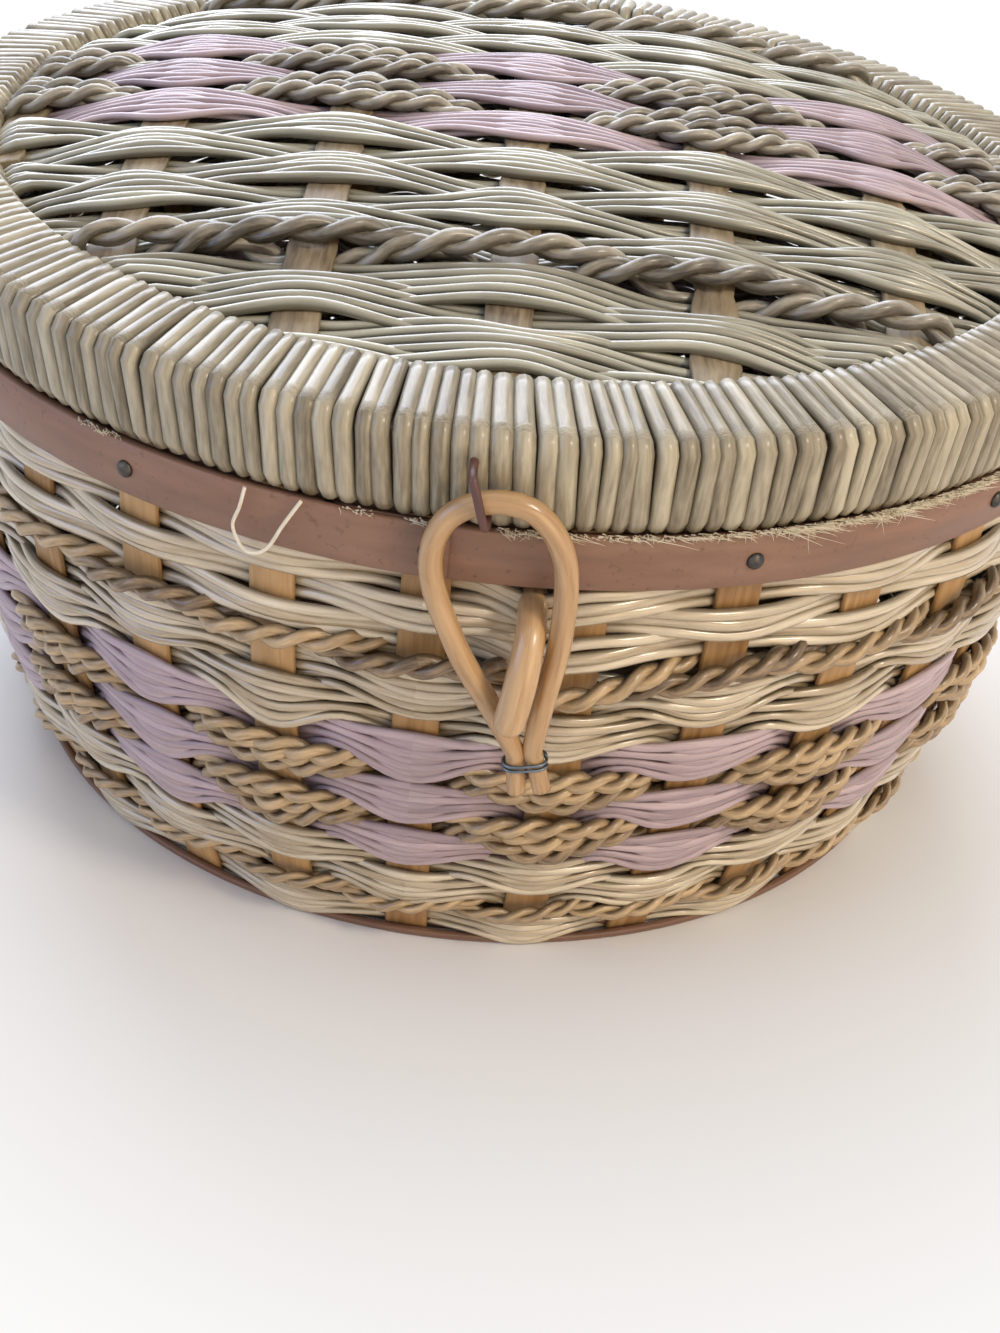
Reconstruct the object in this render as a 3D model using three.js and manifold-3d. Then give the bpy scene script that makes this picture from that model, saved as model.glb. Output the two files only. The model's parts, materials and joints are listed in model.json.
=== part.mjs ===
// A round wicker sewing basket with a domed lid, two wire ring hinges and a cane loop latch.
// Millimetres, +Z up. The origin is the middle of the base on the floor, and the front faces -Y.
import * as THREE from 'three';
import { mergeVertices } from 'three/addons/utils/BufferGeometryUtils.js';
import Module from 'manifold-3d';

const wasm = await Module();
wasm.setup();

// Overall form of the body: the middle of the stakes runs from the foot to the rim
const RIM_RADIUS = 143.5;
const FOOT_RADIUS = 119;

// Clearances
const FIT = 0.3; // between pieces that touch
const FACET = 0.4; // extra room beside the flats of a many-sided ring
const WEAVE_FIT = 0.55; // between a stake and the rows that pass it
const JOIN = 0.4; // rows of one run of weaving share this much height

// Stakes: flat splints standing round the body
const STAKE_COUNT = 28;
const FIRST_STAKE = THREE.MathUtils.degToRad(-4.25);
const STAKE_WIDTH = 10;
const STAKE_THICK = 1.4;
const STAKE_STEPS = 4;
const CROWN_HEIGHT = 4.2; // inner foot hoop that the stakes are fastened to
const CROWN_THICK = 2.4;

// Hoops and base
const RIM_HOOP_HEIGHT = 12;
const RIM_HOOP_THICK = 2.4;
const FOOT_HOOP_HEIGHT = 4.2;
const FOOT_HOOP_THICK = 2.4;
const BASE_THICK = 4.2;
const RING_SIDES = 56;

// Nails in the outer rim hoop, one on every second stake
const NAIL_HEAD_RADIUS = 1.9;
const NAIL_DOME = 1.2;
const NAIL_SHANK_RADIUS = 0.8;
const NAIL_SIDES = 6;

// Rows of the body weave, each with its height and thickness, from the rim down
const REED_THICK = 2.4;
const PINK_THICK = 2.4;
const SEAGRASS_THICK = 3.6;
const TWINE_THICK = 2.4;
const UPPER_REED_HEIGHT = 6.5;
const UPPER_TWINE_HEIGHT = 6.5;
const MIDDLE_REED_HEIGHT = 8.6;
const PINK_HEIGHT = 8.1;
const SEAGRASS_HEIGHT = 7.5;
const LOWER_REED_HEIGHT = 8;
const LOWER_TWINE_HEIGHT = 6;
const FOOT_REED_HEIGHT = 6.4;
const UPPER_REED_ROWS = 3;
const MIDDLE_REED_ROWS = 2;
const PINK_ROWS = 3; // with a seagrass row between each two
const LOWER_REED_ROWS = 2;
const FOOT_CLEAR = 0.9; // between the foot hoop and the first row

// Lid: a wrapped rim round a domed panel woven on straight stakes
const LID_OVERHANG = 2.7; // outer top ridge of the rim beyond the outer rim hoop
const LID_RIM_WIDTH = 22.5;
const LID_RIM_HEIGHT = 21.6; // seat to outer ridge
const LID_RIM_CROWN = 1.2; // inner edge above the ridge
const LID_RIM_TAPER = 3; // outer face draws in this much at its bottom
const WRAP_THICK = 2;
const PANEL_GRIP = 2.5; // how far the panel reaches out over the wrap's inner side
const PANEL_BELOW = 3.1; // edge of the panel below the outer ridge
const DOME_RISE = 14.1;
const DOME_POWER = 3;
const LID_SIDES = 48;
const LID_STAKE_SPREAD = 0.322; // pitch as a share of the panel's radius
const LID_STAKE_PAIRS = 2; // full stakes on each side of the middle one
const LID_SIDE_STAKE_INSET = 7; // short outermost stakes, in from the rim
const LID_STAKE_STEPS = 16;

// Rows of the lid weave, from the middle out to the front and to the back
const LID_BAND_PITCH = 11.5; // pink and seagrass rows
const LID_BAND_BACK = 6.5; // middle of these rows behind the middle of the lid
const LID_PINK_ROWS = 3;
const LID_REED_ROWS = 5; // between the pink rows and the twine
const LID_TWINE_PITCH = 8;
const LID_EDGE_PITCH = 9.3;
const LID_EDGE_ROWS = 3;
const LID_EDGE_MARGIN = 14.35; // last row to the edge of the panel

// Hinges at the back: wire rings through the outer rim hoop and the lid rim
const HINGE_BEHIND = 2.5; // hinge line behind the outer rim hoop
const HINGE_RING_RADIUS = 9;
const HINGE_WIRE = 1.6;
const HINGE_SPACING = 60;
const HINGE_CLEARANCE = 0.45;
const HINGE_STEPS = 16;

// Latch: a cane loop in a wire staple on the lid, over a cane hook on the body
const CANE = 4.8;
const LATCH_HEIGHT = 9.2; // pivot above the seat of the lid
const LOOP_LENGTH = 57; // pivot to where the two arms meet
const LOOP_HALF_WIDTH = 13;
const LOOP_TAIL = 11;
const LOOP_TILT = THREE.MathUtils.degToRad(12.4); // the hook stands to the right of the staple
const TAIL_GAP = 0.5;
const TAIL_SPLAY = 0.6;
const TIE_WIRE = 0.8;
const TIE_BELOW = 3.6; // tie below the meeting of the arms
const STAPLE_WIRE = 1.8;
const STAPLE_RISE = 6.5; // upper leg above the pivot
const STAPLE_LEAN = 3.4; // upper leg to the left of the lower one
const STAPLE_BITE = 1.6; // legs into the wrap
const HOOK_CANE = 6;
const HOOK_AZIMUTH = THREE.MathUtils.degToRad(3);
const HOOK_LEAN = 3.2; // root to the right of the tip
const HOOK_TAIL = 9; // inside the wall
const HOOK_DROP = 24; // root to tip

// Materials
const finish = (color, roughness, metalness = 0) =>
  new THREE.MeshStandardMaterial({ color, roughness, metalness });
const splintFinish = finish('#b5864f', 0.6);
const hoopFinish = finish('#8f6655', 0.6);
const reedFinish = finish('#b3a487', 0.45);
const pinkFinish = finish('#b59ba8', 0.4);
const seagrassFinish = finish('#8a7150', 0.65);
const caneFinish = finish('#c08f55', 0.35);
const wrapFinish = finish('#aa9a7a', 0.45);
const lidSplintFinish = finish('#ad9877', 0.6);
const boardFinish = finish('#a98357', 0.65);
const nailFinish = finish('#45423f', 0.45, 0.9);
const stapleFinish = finish('#5a3a36', 0.5, 0.3);
const tieFinish = finish('#46525e', 0.4, 0.9);

// Geometry helpers
const outwardGeometry = (positions, indices) => {
  const volume = indices.reduce((sum, _, i) => {
    if (i % 3) return sum;
    const [a, b, c] = [positions[indices[i]], positions[indices[i + 1]], positions[indices[i + 2]]];
    return sum + a.dot(b.clone().cross(c)) / 6;
  }, 0);
  const geometry = new THREE.BufferGeometry().setFromPoints(positions);
  geometry.setIndex(volume < 0 ? indices.slice().reverse() : indices);
  return geometry;
};

// A solid through a list of sections, each a list of corners in the same order
const sweep = (sections, closed) => {
  const corners = sections[0].length;
  const indices = [];
  const last = closed ? sections.length : sections.length - 1;
  for (let i = 0; i < last; i += 1) {
    const next = (i + 1) % sections.length;
    for (let j = 0; j < corners; j += 1) {
      const k = (j + 1) % corners;
      const [a, b, c, d] = [i * corners + j, i * corners + k, next * corners + k, next * corners + j];
      indices.push(a, b, c, a, c, d);
    }
  }
  if (!closed) {
    const end = (sections.length - 1) * corners;
    for (let j = 1; j < corners - 1; j += 1) {
      indices.push(0, j + 1, j);
      indices.push(end, end + j, end + j + 1);
    }
  }
  return outwardGeometry(sections.flat(), indices);
};

const toSolid = (geometry) => {
  const bare = geometry.clone();
  bare.deleteAttribute('normal');
  bare.deleteAttribute('uv');
  const merged = mergeVertices(bare, 1e-4);
  return new wasm.Manifold(new wasm.Mesh({
    numProp: 3,
    vertProperties: new Float32Array(merged.attributes.position.array),
    triVerts: new Uint32Array(merged.index.array),
  }));
};

const fromSolid = (solid) => {
  const mesh = solid.getMesh();
  const geometry = new THREE.BufferGeometry();
  geometry.setAttribute('position', new THREE.BufferAttribute(mesh.vertProperties, 3));
  geometry.setIndex(new THREE.BufferAttribute(mesh.triVerts, 1));
  return geometry;
};

const join = (geometries) => fromSolid(geometries.map(toSolid).reduce((a, b) => a.add(b)));
const cut = (geometry, tools) =>
  fromSolid(tools.map(toSolid).reduce((solid, tool) => solid.subtract(tool), toSolid(geometry)));

const tube = (curve, diameter, sides, steps) => {
  const section = new THREE.Shape(
    Array.from({ length: sides }, (_, i) => {
      const turn = (i / sides) * 2 * Math.PI;
      return new THREE.Vector2(Math.cos(turn), Math.sin(turn)).multiplyScalar(diameter / 2);
    }),
  );
  return new THREE.ExtrudeGeometry(section, { extrudePath: curve, steps, bevelEnabled: false });
};

const smooth = (points) => new THREE.CatmullRomCurve3(points, false, 'centripetal');

const addMesh = (group, name, geometry, material) => {
  const mesh = new THREE.Mesh(geometry, material);
  mesh.name = name;
  group.add(mesh);
  return mesh;
};

// The rows, the foot hoop and the rim hoop make up the height of the body
const reedHeight =
  UPPER_REED_ROWS * UPPER_REED_HEIGHT +
  MIDDLE_REED_ROWS * MIDDLE_REED_HEIGHT +
  LOWER_REED_ROWS * LOWER_REED_HEIGHT +
  FOOT_REED_HEIGHT;
const bandHeight = PINK_ROWS * PINK_HEIGHT + (PINK_ROWS - 1) * SEAGRASS_HEIGHT;
const weaveHeight = reedHeight + bandHeight + UPPER_TWINE_HEIGHT + LOWER_TWINE_HEIGHT;
const bodyHeight = FOOT_HOOP_HEIGHT + FOOT_CLEAR + weaveHeight + RIM_HOOP_HEIGHT;

// The wall of the body: a bowl that leans out fastest at the foot
const wallRadius = (z) => RIM_RADIUS - (RIM_RADIUS - FOOT_RADIUS) * (1 - z / bodyHeight) ** 2;
const wallPoint = (azimuth, z, offset, along = 0) => {
  const radius = wallRadius(z) + offset;
  return new THREE.Vector3(
    radius * Math.sin(azimuth) + along * Math.cos(azimuth),
    -radius * Math.cos(azimuth) + along * Math.sin(azimuth),
    z,
  );
};
const stakeAzimuth = (i) => FIRST_STAKE + (i * 2 * Math.PI) / STAKE_COUNT;

// A plain hoop that follows the wall between two heights and two offsets
const wallHoop = (low, high, inside, outside) => {
  const sections = Array.from({ length: RING_SIDES }, (_, i) => {
    const azimuth = FIRST_STAKE + (i * 2 * Math.PI) / RING_SIDES;
    return [
      wallPoint(azimuth, low, inside),
      wallPoint(azimuth, low, outside),
      wallPoint(azimuth, high, outside),
      wallPoint(azimuth, high, inside),
    ];
  });
  return sweep(sections, true);
};

// How far a row stands off the middle of the wall at a stake, so that it clears the stake's edges
const rowLift = (z, thick) => {
  const reach = (Math.PI * wallRadius(z)) / STAKE_COUNT;
  return (STAKE_THICK / 2 + thick / 2 + WEAVE_FIT) / (1 - STAKE_WIDTH / 2 / reach);
};
// Straight runs between stakes cut the corner of the circle by this much at a stake's edge
const chordSag = (z) => {
  const edge = STAKE_WIDTH / 2 / wallRadius(z);
  return (wallRadius(z) * edge * ((2 * Math.PI) / STAKE_COUNT - edge)) / 2;
};

// A row that passes outside one stake and inside the next
const wovenRow = (low, high, thick, firstOutside) => {
  const middle = (low + high) / 2;
  const sections = Array.from({ length: STAKE_COUNT }, (_, i) => {
    const side = (i + firstOutside) % 2 === 0 ? 1 : -1;
    const offset = side * rowLift(middle, thick) + chordSag(middle);
    return [
      wallPoint(stakeAzimuth(i), low, offset - thick / 2),
      wallPoint(stakeAzimuth(i), low, offset + thick / 2),
      wallPoint(stakeAzimuth(i), high, offset + thick / 2),
      wallPoint(stakeAzimuth(i), high, offset - thick / 2),
    ];
  });
  return sweep(sections, true);
};

// One strand of a twined pair: it changes sides at each stake and climbs over its partner between
const twinedStrand = (low, high, thick, phase) => {
  const middle = (low + high) / 2;
  const swing = (high - low - FIT - thick) / 2;
  const sections = Array.from({ length: STAKE_COUNT * 2 }, (_, i) => {
    const azimuth = FIRST_STAKE + (i * Math.PI) / STAKE_COUNT;
    const turn = ((i + phase) * Math.PI) / 2;
    const offset = Math.cos(turn) * rowLift(middle, thick) + chordSag(middle);
    const z = middle + Math.sin(turn) * swing;
    return [
      wallPoint(azimuth, z - thick / 2, offset - thick / 2),
      wallPoint(azimuth, z - thick / 2, offset + thick / 2),
      wallPoint(azimuth, z + thick / 2, offset + thick / 2),
      wallPoint(azimuth, z + thick / 2, offset - thick / 2),
    ];
  });
  return sweep(sections, true);
};

// Heights of the rows in one run of weaving, from the top down, sharing JOIN where they cross
const runHeights = (top, height, rows) =>
  Array.from({ length: rows }, (_, i) => ({
    low: top - (i + 1) * height - (i < rows - 1 ? JOIN / 2 : -FIT / 2),
    high: top - i * height + (i > 0 ? JOIN / 2 : -FIT / 2),
  }));

const basket = new THREE.Group();

// Base board, foot hoop and the crown of stakes
const crownInside = -STAKE_THICK / 2 - CROWN_THICK;
const boardRadius = (z) => wallRadius(z) + crownInside - FIT - FACET;
const baseProfile = [
  new THREE.Vector2(0, 0),
  new THREE.Vector2(boardRadius(0), 0),
  new THREE.Vector2(boardRadius(BASE_THICK), BASE_THICK),
  new THREE.Vector2(0, BASE_THICK),
];
const baseBoard = new THREE.LatheGeometry(baseProfile, RING_SIDES).rotateX(Math.PI / 2);
addMesh(basket, 'base_board', baseBoard, boardFinish);

const footInside = STAKE_THICK / 2 + FIT + FACET;
const footHoop = wallHoop(0, FOOT_HOOP_HEIGHT, footInside, footInside + FOOT_HOOP_THICK);
addMesh(basket, 'foot_hoop', footHoop, hoopFinish);

const stakeStrip = (azimuth) => {
  const sections = Array.from({ length: STAKE_STEPS + 1 }, (_, i) => {
    const z = (i / STAKE_STEPS) * bodyHeight;
    return [
      wallPoint(azimuth, z, -STAKE_THICK / 2, -STAKE_WIDTH / 2),
      wallPoint(azimuth, z, STAKE_THICK / 2, -STAKE_WIDTH / 2),
      wallPoint(azimuth, z, STAKE_THICK / 2, STAKE_WIDTH / 2),
      wallPoint(azimuth, z, -STAKE_THICK / 2, STAKE_WIDTH / 2),
    ];
  });
  return sweep(sections, false);
};
const stakes = Array.from({ length: STAKE_COUNT }, (_, i) => stakeStrip(stakeAzimuth(i)));
const crown = wallHoop(0, CROWN_HEIGHT, crownInside, JOIN + FACET - STAKE_THICK / 2);
addMesh(basket, 'stake_crown', join([crown, ...stakes]), splintFinish);

// Rim hoops: the stakes are nailed between them
const rimHoopLow = bodyHeight - RIM_HOOP_HEIGHT;
const rimHoopGap = STAKE_THICK / 2 + FIT + FACET;
const rimHoopOutside = RIM_RADIUS + rimHoopGap + RIM_HOOP_THICK;
const innerRimHoop = wallHoop(rimHoopLow, bodyHeight, -rimHoopGap - RIM_HOOP_THICK, -rimHoopGap);
addMesh(basket, 'inner_rim_hoop', innerRimHoop, hoopFinish);

// The lid rim stands over the rim hoop
const lidRadius = rimHoopOutside + LID_OVERHANG;
const lidInnerRadius = lidRadius - LID_RIM_WIDTH;

// Hinge line: along X behind the back of the rim, level with the seat of the lid
const seat = bodyHeight + FIT;
const hingeY = rimHoopOutside + HINGE_BEHIND;
const hingeZ = bodyHeight + FIT / 2;
const hingeRing = (x, wire, z) =>
  new THREE.TorusGeometry(HINGE_RING_RADIUS, wire / 2, 6, HINGE_STEPS)
    .rotateY(Math.PI / 2)
    .translate(x, hingeY, z);
const hingePlaces = [['left', -HINGE_SPACING / 2], ['right', HINGE_SPACING / 2]];
const hingeBores = (z) =>
  hingePlaces.map(([, x]) => hingeRing(x, HINGE_WIRE + 2 * HINGE_CLEARANCE, z));

const nailAzimuths = Array.from({ length: STAKE_COUNT / 2 }, (_, i) => stakeAzimuth(2 * i));
const nailSeat = rimHoopOutside + FIT / 2;
const nailHeight = bodyHeight - RIM_HOOP_HEIGHT / 2;
const placeOnRim = (object, azimuth, radius, z) => {
  object.rotation.set(0, 0, azimuth);
  object.position.set(radius * Math.sin(azimuth), -radius * Math.cos(azimuth), z);
  object.updateMatrix();
};
const nailHole = (azimuth) => {
  const radius = NAIL_SHANK_RADIUS + FIT;
  const hole = new THREE.Mesh(new THREE.CylinderGeometry(radius, radius, 4 * RIM_HOOP_THICK, NAIL_SIDES));
  placeOnRim(hole, azimuth, rimHoopOutside, nailHeight);
  return hole.geometry.applyMatrix4(hole.matrix);
};
const plainRimHoop = wallHoop(rimHoopLow, bodyHeight, rimHoopGap, rimHoopGap + RIM_HOOP_THICK);
const outerRimHoop = cut(plainRimHoop, [...nailAzimuths.map(nailHole), ...hingeBores(hingeZ)]);
addMesh(basket, 'outer_rim_hoop', outerRimHoop, hoopFinish);

// A nail along -Y: shank into the hoop, flat under the head, domed outside
const nailProfile = [
  new THREE.Vector2(0, RIM_HOOP_THICK),
  new THREE.Vector2(NAIL_SHANK_RADIUS, RIM_HOOP_THICK),
  new THREE.Vector2(NAIL_SHANK_RADIUS, 0),
  new THREE.Vector2(NAIL_HEAD_RADIUS, 0),
  new THREE.Vector2(NAIL_HEAD_RADIUS * Math.SQRT1_2, -NAIL_DOME * Math.SQRT1_2),
  new THREE.Vector2(0, -NAIL_DOME),
].reverse();
nailAzimuths.forEach((azimuth, i) => {
  const nail = new THREE.LatheGeometry(nailProfile, NAIL_SIDES);
  const mesh = addMesh(basket, `rim_nail_${String(i + 1).padStart(2, '0')}`, nail, nailFinish);
  placeOnRim(mesh, azimuth, nailSeat, nailHeight);
});

hingePlaces.forEach(([side, x]) => {
  addMesh(basket, `hinge_ring_${side}`, hingeRing(x, HINGE_WIRE, hingeZ), stapleFinish);
});

// Hook: a cane through the wall just under the rim hoop, bent down outside
const hookZ = rimHoopLow - FIT - HOOK_CANE / 2;
const loopPlane = lidRadius + FIT + CANE / 2;
const hookReach = loopPlane + CANE / 2 + FIT + HOOK_CANE / 2 - RIM_RADIUS;
const hookPoint = (out, z) =>
  new THREE.Vector3(
    (RIM_RADIUS + out) * Math.sin(HOOK_AZIMUTH) + HOOK_LEAN * (1 - (hookZ - z) / HOOK_DROP),
    -(RIM_RADIUS + out) * Math.cos(HOOK_AZIMUTH),
    z,
  );
const hookCurve = smooth([
  hookPoint(-HOOK_TAIL, hookZ),
  hookPoint(hookReach * 0.25, hookZ),
  hookPoint(hookReach * 0.72, hookZ - HOOK_DROP * 0.14),
  hookPoint(hookReach, hookZ - HOOK_DROP * 0.52),
  hookPoint(hookReach, hookZ - HOOK_DROP),
]);
addMesh(basket, 'latch_hook', tube(hookCurve, HOOK_CANE, 8, 14), caneFinish);
const hookBore = tube(
  new THREE.LineCurve3(hookPoint(-HOOK_TAIL, hookZ), hookPoint(hookReach, hookZ)),
  HOOK_CANE + 2 * FIT + FACET,
  8,
  1,
);

// The body weave from the rim hoop down to the foot hoop
let level = rimHoopLow;
let rowIndex = 1;
const weaveRun = (name, height, rows, thick, material, bores = []) => {
  const strips = runHeights(level, height, rows).map(({ low, high }) => {
    const strip = wovenRow(low, high, thick, rowIndex);
    rowIndex += 1;
    return strip;
  });
  const whole = rows > 1 ? join(strips) : strips[0];
  addMesh(basket, name, bores.length ? cut(whole, bores) : whole, material);
  level -= height * rows;
};
weaveRun('upper_reed_rows', UPPER_REED_HEIGHT, UPPER_REED_ROWS, REED_THICK, reedFinish, [hookBore]);
['a', 'b'].forEach((strand, i) => {
  const twine = twinedStrand(level - UPPER_TWINE_HEIGHT, level, TWINE_THICK, 2 * i);
  addMesh(basket, `upper_twine_${strand}`, twine, seagrassFinish);
});
level -= UPPER_TWINE_HEIGHT;
weaveRun('middle_reed_rows', MIDDLE_REED_HEIGHT, MIDDLE_REED_ROWS, REED_THICK, reedFinish);
for (let i = 1; i <= PINK_ROWS; i += 1) {
  weaveRun(`pink_row_${i}`, PINK_HEIGHT, 1, PINK_THICK, pinkFinish);
  if (i < PINK_ROWS) {
    weaveRun(`seagrass_row_${i}`, SEAGRASS_HEIGHT, 1, SEAGRASS_THICK, seagrassFinish);
  }
}
weaveRun('lower_reed_rows', LOWER_REED_HEIGHT, LOWER_REED_ROWS, REED_THICK, reedFinish);
const twineOffset = STAKE_THICK / 2 + FIT + FACET;
const lowerTwine = wallHoop(
  level - LOWER_TWINE_HEIGHT + FIT / 2,
  level - FIT / 2,
  twineOffset,
  twineOffset + TWINE_THICK,
);
addMesh(basket, 'lower_twine', lowerTwine, seagrassFinish);
level -= LOWER_TWINE_HEIGHT;
weaveRun('foot_reed_row', FOOT_REED_HEIGHT, 1, REED_THICK, reedFinish);

// The lid stands in its own group, with its seat at z = 0 there
const lid = new THREE.Group();
lid.position.z = seat;

const panelRadius = lidInnerRadius + WRAP_THICK + PANEL_GRIP;
const panelLevel = LID_RIM_HEIGHT - PANEL_BELOW;
const lidStakePitch = LID_STAKE_SPREAD * panelRadius;
const dome = (x, y) => DOME_RISE * (1 - (Math.hypot(x, y) / panelRadius) ** DOME_POWER);
const panelPoint = (x, y, offset) => new THREE.Vector3(x, y, panelLevel + dome(x, y) + offset);
const halfChord = (reach) => Math.sqrt(panelRadius ** 2 - reach ** 2);
const lidLift = (thick) =>
  (STAKE_THICK / 2 + thick / 2 + WEAVE_FIT) / (1 - STAKE_WIDTH / lidStakePitch);
// Straight runs between lid stakes cut below the dome by this much at a stake's edge
const domeSag = (x, y) => {
  const curve = DOME_POWER * (DOME_POWER - 1) * Math.hypot(x, y) ** (DOME_POWER - 2);
  const fall = (DOME_RISE * curve) / panelRadius ** DOME_POWER;
  return (fall * (STAKE_WIDTH / 2) * (lidStakePitch - STAKE_WIDTH / 2)) / 2;
};

// Rim: a wooden core inside a wrap that is stepped for the edge of the panel
const rimTop = LID_RIM_HEIGHT + LID_RIM_CROWN;
const stepReach = lidLift(SEAGRASS_THICK) + SEAGRASS_THICK / 2 + FIT;
const stepLow = panelLevel - stepReach;
const stepRadius = panelRadius + FIT + FACET;
const wrapInside = lidInnerRadius + WRAP_THICK;
const ridgeInside = lidRadius - WRAP_THICK;
const footInsideRadius = lidRadius - LID_RIM_TAPER - WRAP_THICK;
const wrapProfile = [
  new THREE.Vector2(stepRadius, rimTop),
  new THREE.Vector2(lidRadius, LID_RIM_HEIGHT),
  new THREE.Vector2(lidRadius - LID_RIM_TAPER, 0),
  new THREE.Vector2(lidInnerRadius, 0),
  new THREE.Vector2(lidInnerRadius, stepLow),
  new THREE.Vector2(wrapInside, stepLow),
  new THREE.Vector2(wrapInside, WRAP_THICK),
  new THREE.Vector2(footInsideRadius, WRAP_THICK),
  new THREE.Vector2(ridgeInside, LID_RIM_HEIGHT - WRAP_THICK),
  new THREE.Vector2(stepRadius, rimTop - WRAP_THICK),
];
const ringOf = (profile) => {
  const sections = Array.from({ length: LID_SIDES }, (_, i) => {
    const turn = (i / LID_SIDES) * 2 * Math.PI;
    return profile.map(({ x, y }) => new THREE.Vector3(x * Math.cos(turn), x * Math.sin(turn), y));
  });
  return sweep(sections, true);
};
const coreProfile = [
  new THREE.Vector2(stepRadius, WRAP_THICK + FIT),
  new THREE.Vector2(footInsideRadius - FIT, WRAP_THICK + FIT),
  new THREE.Vector2(ridgeInside - FIT, LID_RIM_HEIGHT - WRAP_THICK - FIT),
  new THREE.Vector2(stepRadius, LID_RIM_HEIGHT - WRAP_THICK - FIT),
];
const lidBores = hingeBores(hingeZ - seat);
addMesh(lid, 'lid_rim_core', cut(ringOf(coreProfile), lidBores), hoopFinish);

// Staple: a U of wire whose lower leg carries the top of the loop
const stapleLow = LATCH_HEIGHT - CANE / 2 - FIT - STAPLE_WIRE / 2;
const stapleHigh = LATCH_HEIGHT + STAPLE_RISE;
const stapleFront = loopPlane + CANE / 2 + FIT + STAPLE_WIRE / 2;
const rimFace = (z) => lidRadius - LID_RIM_TAPER * (1 - z / LID_RIM_HEIGHT);
const stapleLeg = (x, z, depth) => new THREE.Vector3(x, -depth, z);
const stapleCurve = smooth([
  stapleLeg(-STAPLE_LEAN, stapleHigh, rimFace(stapleHigh) - STAPLE_BITE),
  stapleLeg(-STAPLE_LEAN, stapleHigh, stapleFront - STAPLE_WIRE),
  stapleLeg(-STAPLE_LEAN * 0.8, stapleHigh - STAPLE_WIRE, stapleFront),
  stapleLeg(-STAPLE_LEAN * 0.2, stapleLow + STAPLE_WIRE, stapleFront),
  stapleLeg(0, stapleLow, stapleFront - STAPLE_WIRE),
  stapleLeg(0, stapleLow, rimFace(stapleLow) - STAPLE_BITE),
]);
const stapleRod = (diameter) => tube(stapleCurve, diameter, 6, 14);
const wrapCutters = [...lidBores, stapleRod(STAPLE_WIRE + 2 * FIT)];
addMesh(lid, 'lid_rim_wrap', cut(ringOf(wrapProfile), wrapCutters), wrapFinish);
addMesh(lid, 'latch_staple', stapleRod(STAPLE_WIRE), stapleFinish);

// Lid stakes: splints that run from front to back over the dome
const sideStake = lidInnerRadius - LID_SIDE_STAKE_INSET;
const lidStakes = [
  -sideStake,
  ...Array.from({ length: 2 * LID_STAKE_PAIRS + 1 }, (_, i) => (i - LID_STAKE_PAIRS) * lidStakePitch),
  sideStake,
];
lidStakes.forEach((x, i) => {
  const reach = halfChord(Math.abs(x) + STAKE_WIDTH / 2);
  const sections = Array.from({ length: LID_STAKE_STEPS + 1 }, (_, step) => {
    const y = reach * ((2 * step) / LID_STAKE_STEPS - 1);
    return [
      panelPoint(x - STAKE_WIDTH / 2, y, -STAKE_THICK / 2),
      panelPoint(x + STAKE_WIDTH / 2, y, -STAKE_THICK / 2),
      panelPoint(x + STAKE_WIDTH / 2, y, STAKE_THICK / 2),
      panelPoint(x - STAKE_WIDTH / 2, y, STAKE_THICK / 2),
    ];
  });
  addMesh(lid, `lid_stake_${i + 1}`, sweep(sections, false), lidSplintFinish);
});

// A lid row from side to side; pass gives its side of each stake, over (1) or under (-1)
const lidRow = (near, far, thick, pass) => {
  const reach = halfChord(Math.max(Math.abs(near), Math.abs(far)));
  const crossed = lidStakes
    .map((x, i) => ({ x, offset: pass(i) * lidLift(thick) + domeSag(x, near) }))
    .filter(({ x }) => Math.abs(x) + STAKE_WIDTH / 2 < reach);
  const stations = [
    { x: -reach, offset: crossed[0].offset },
    ...crossed,
    { x: reach, offset: crossed[crossed.length - 1].offset },
  ];
  const sections = stations.map(({ x, offset }) => [
    panelPoint(x, near, offset - thick / 2),
    panelPoint(x, far, offset - thick / 2),
    panelPoint(x, far, offset + thick / 2),
    panelPoint(x, near, offset + thick / 2),
  ]);
  return sweep(sections, false);
};
const overEvery = () => 1;
const overAlternate = (row) => (stake) => ((stake + row) % 2 === 0 ? 1 : -1);
const middleStake = LID_STAKE_PAIRS + 1;

// Middle of the lid: pink rows over the middle stake, seagrass rows over its neighbours
const bandRows = 2 * LID_PINK_ROWS - 1;
for (let row = 0; row < bandRows; row += 1) {
  const near = (row - bandRows / 2) * LID_BAND_PITCH + LID_BAND_BACK;
  const isPink = row % 2 === 0;
  const thick = isPink ? PINK_THICK : SEAGRASS_THICK;
  const strip = lidRow(
    near + FIT / 2,
    near + LID_BAND_PITCH - FIT / 2,
    thick,
    overAlternate(middleStake + row),
  );
  const name = `lid_${isPink ? 'pink' : 'seagrass'}_row_${Math.floor(row / 2) + 1}`;
  addMesh(lid, name, strip, isPink ? pinkFinish : seagrassFinish);
}

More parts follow.
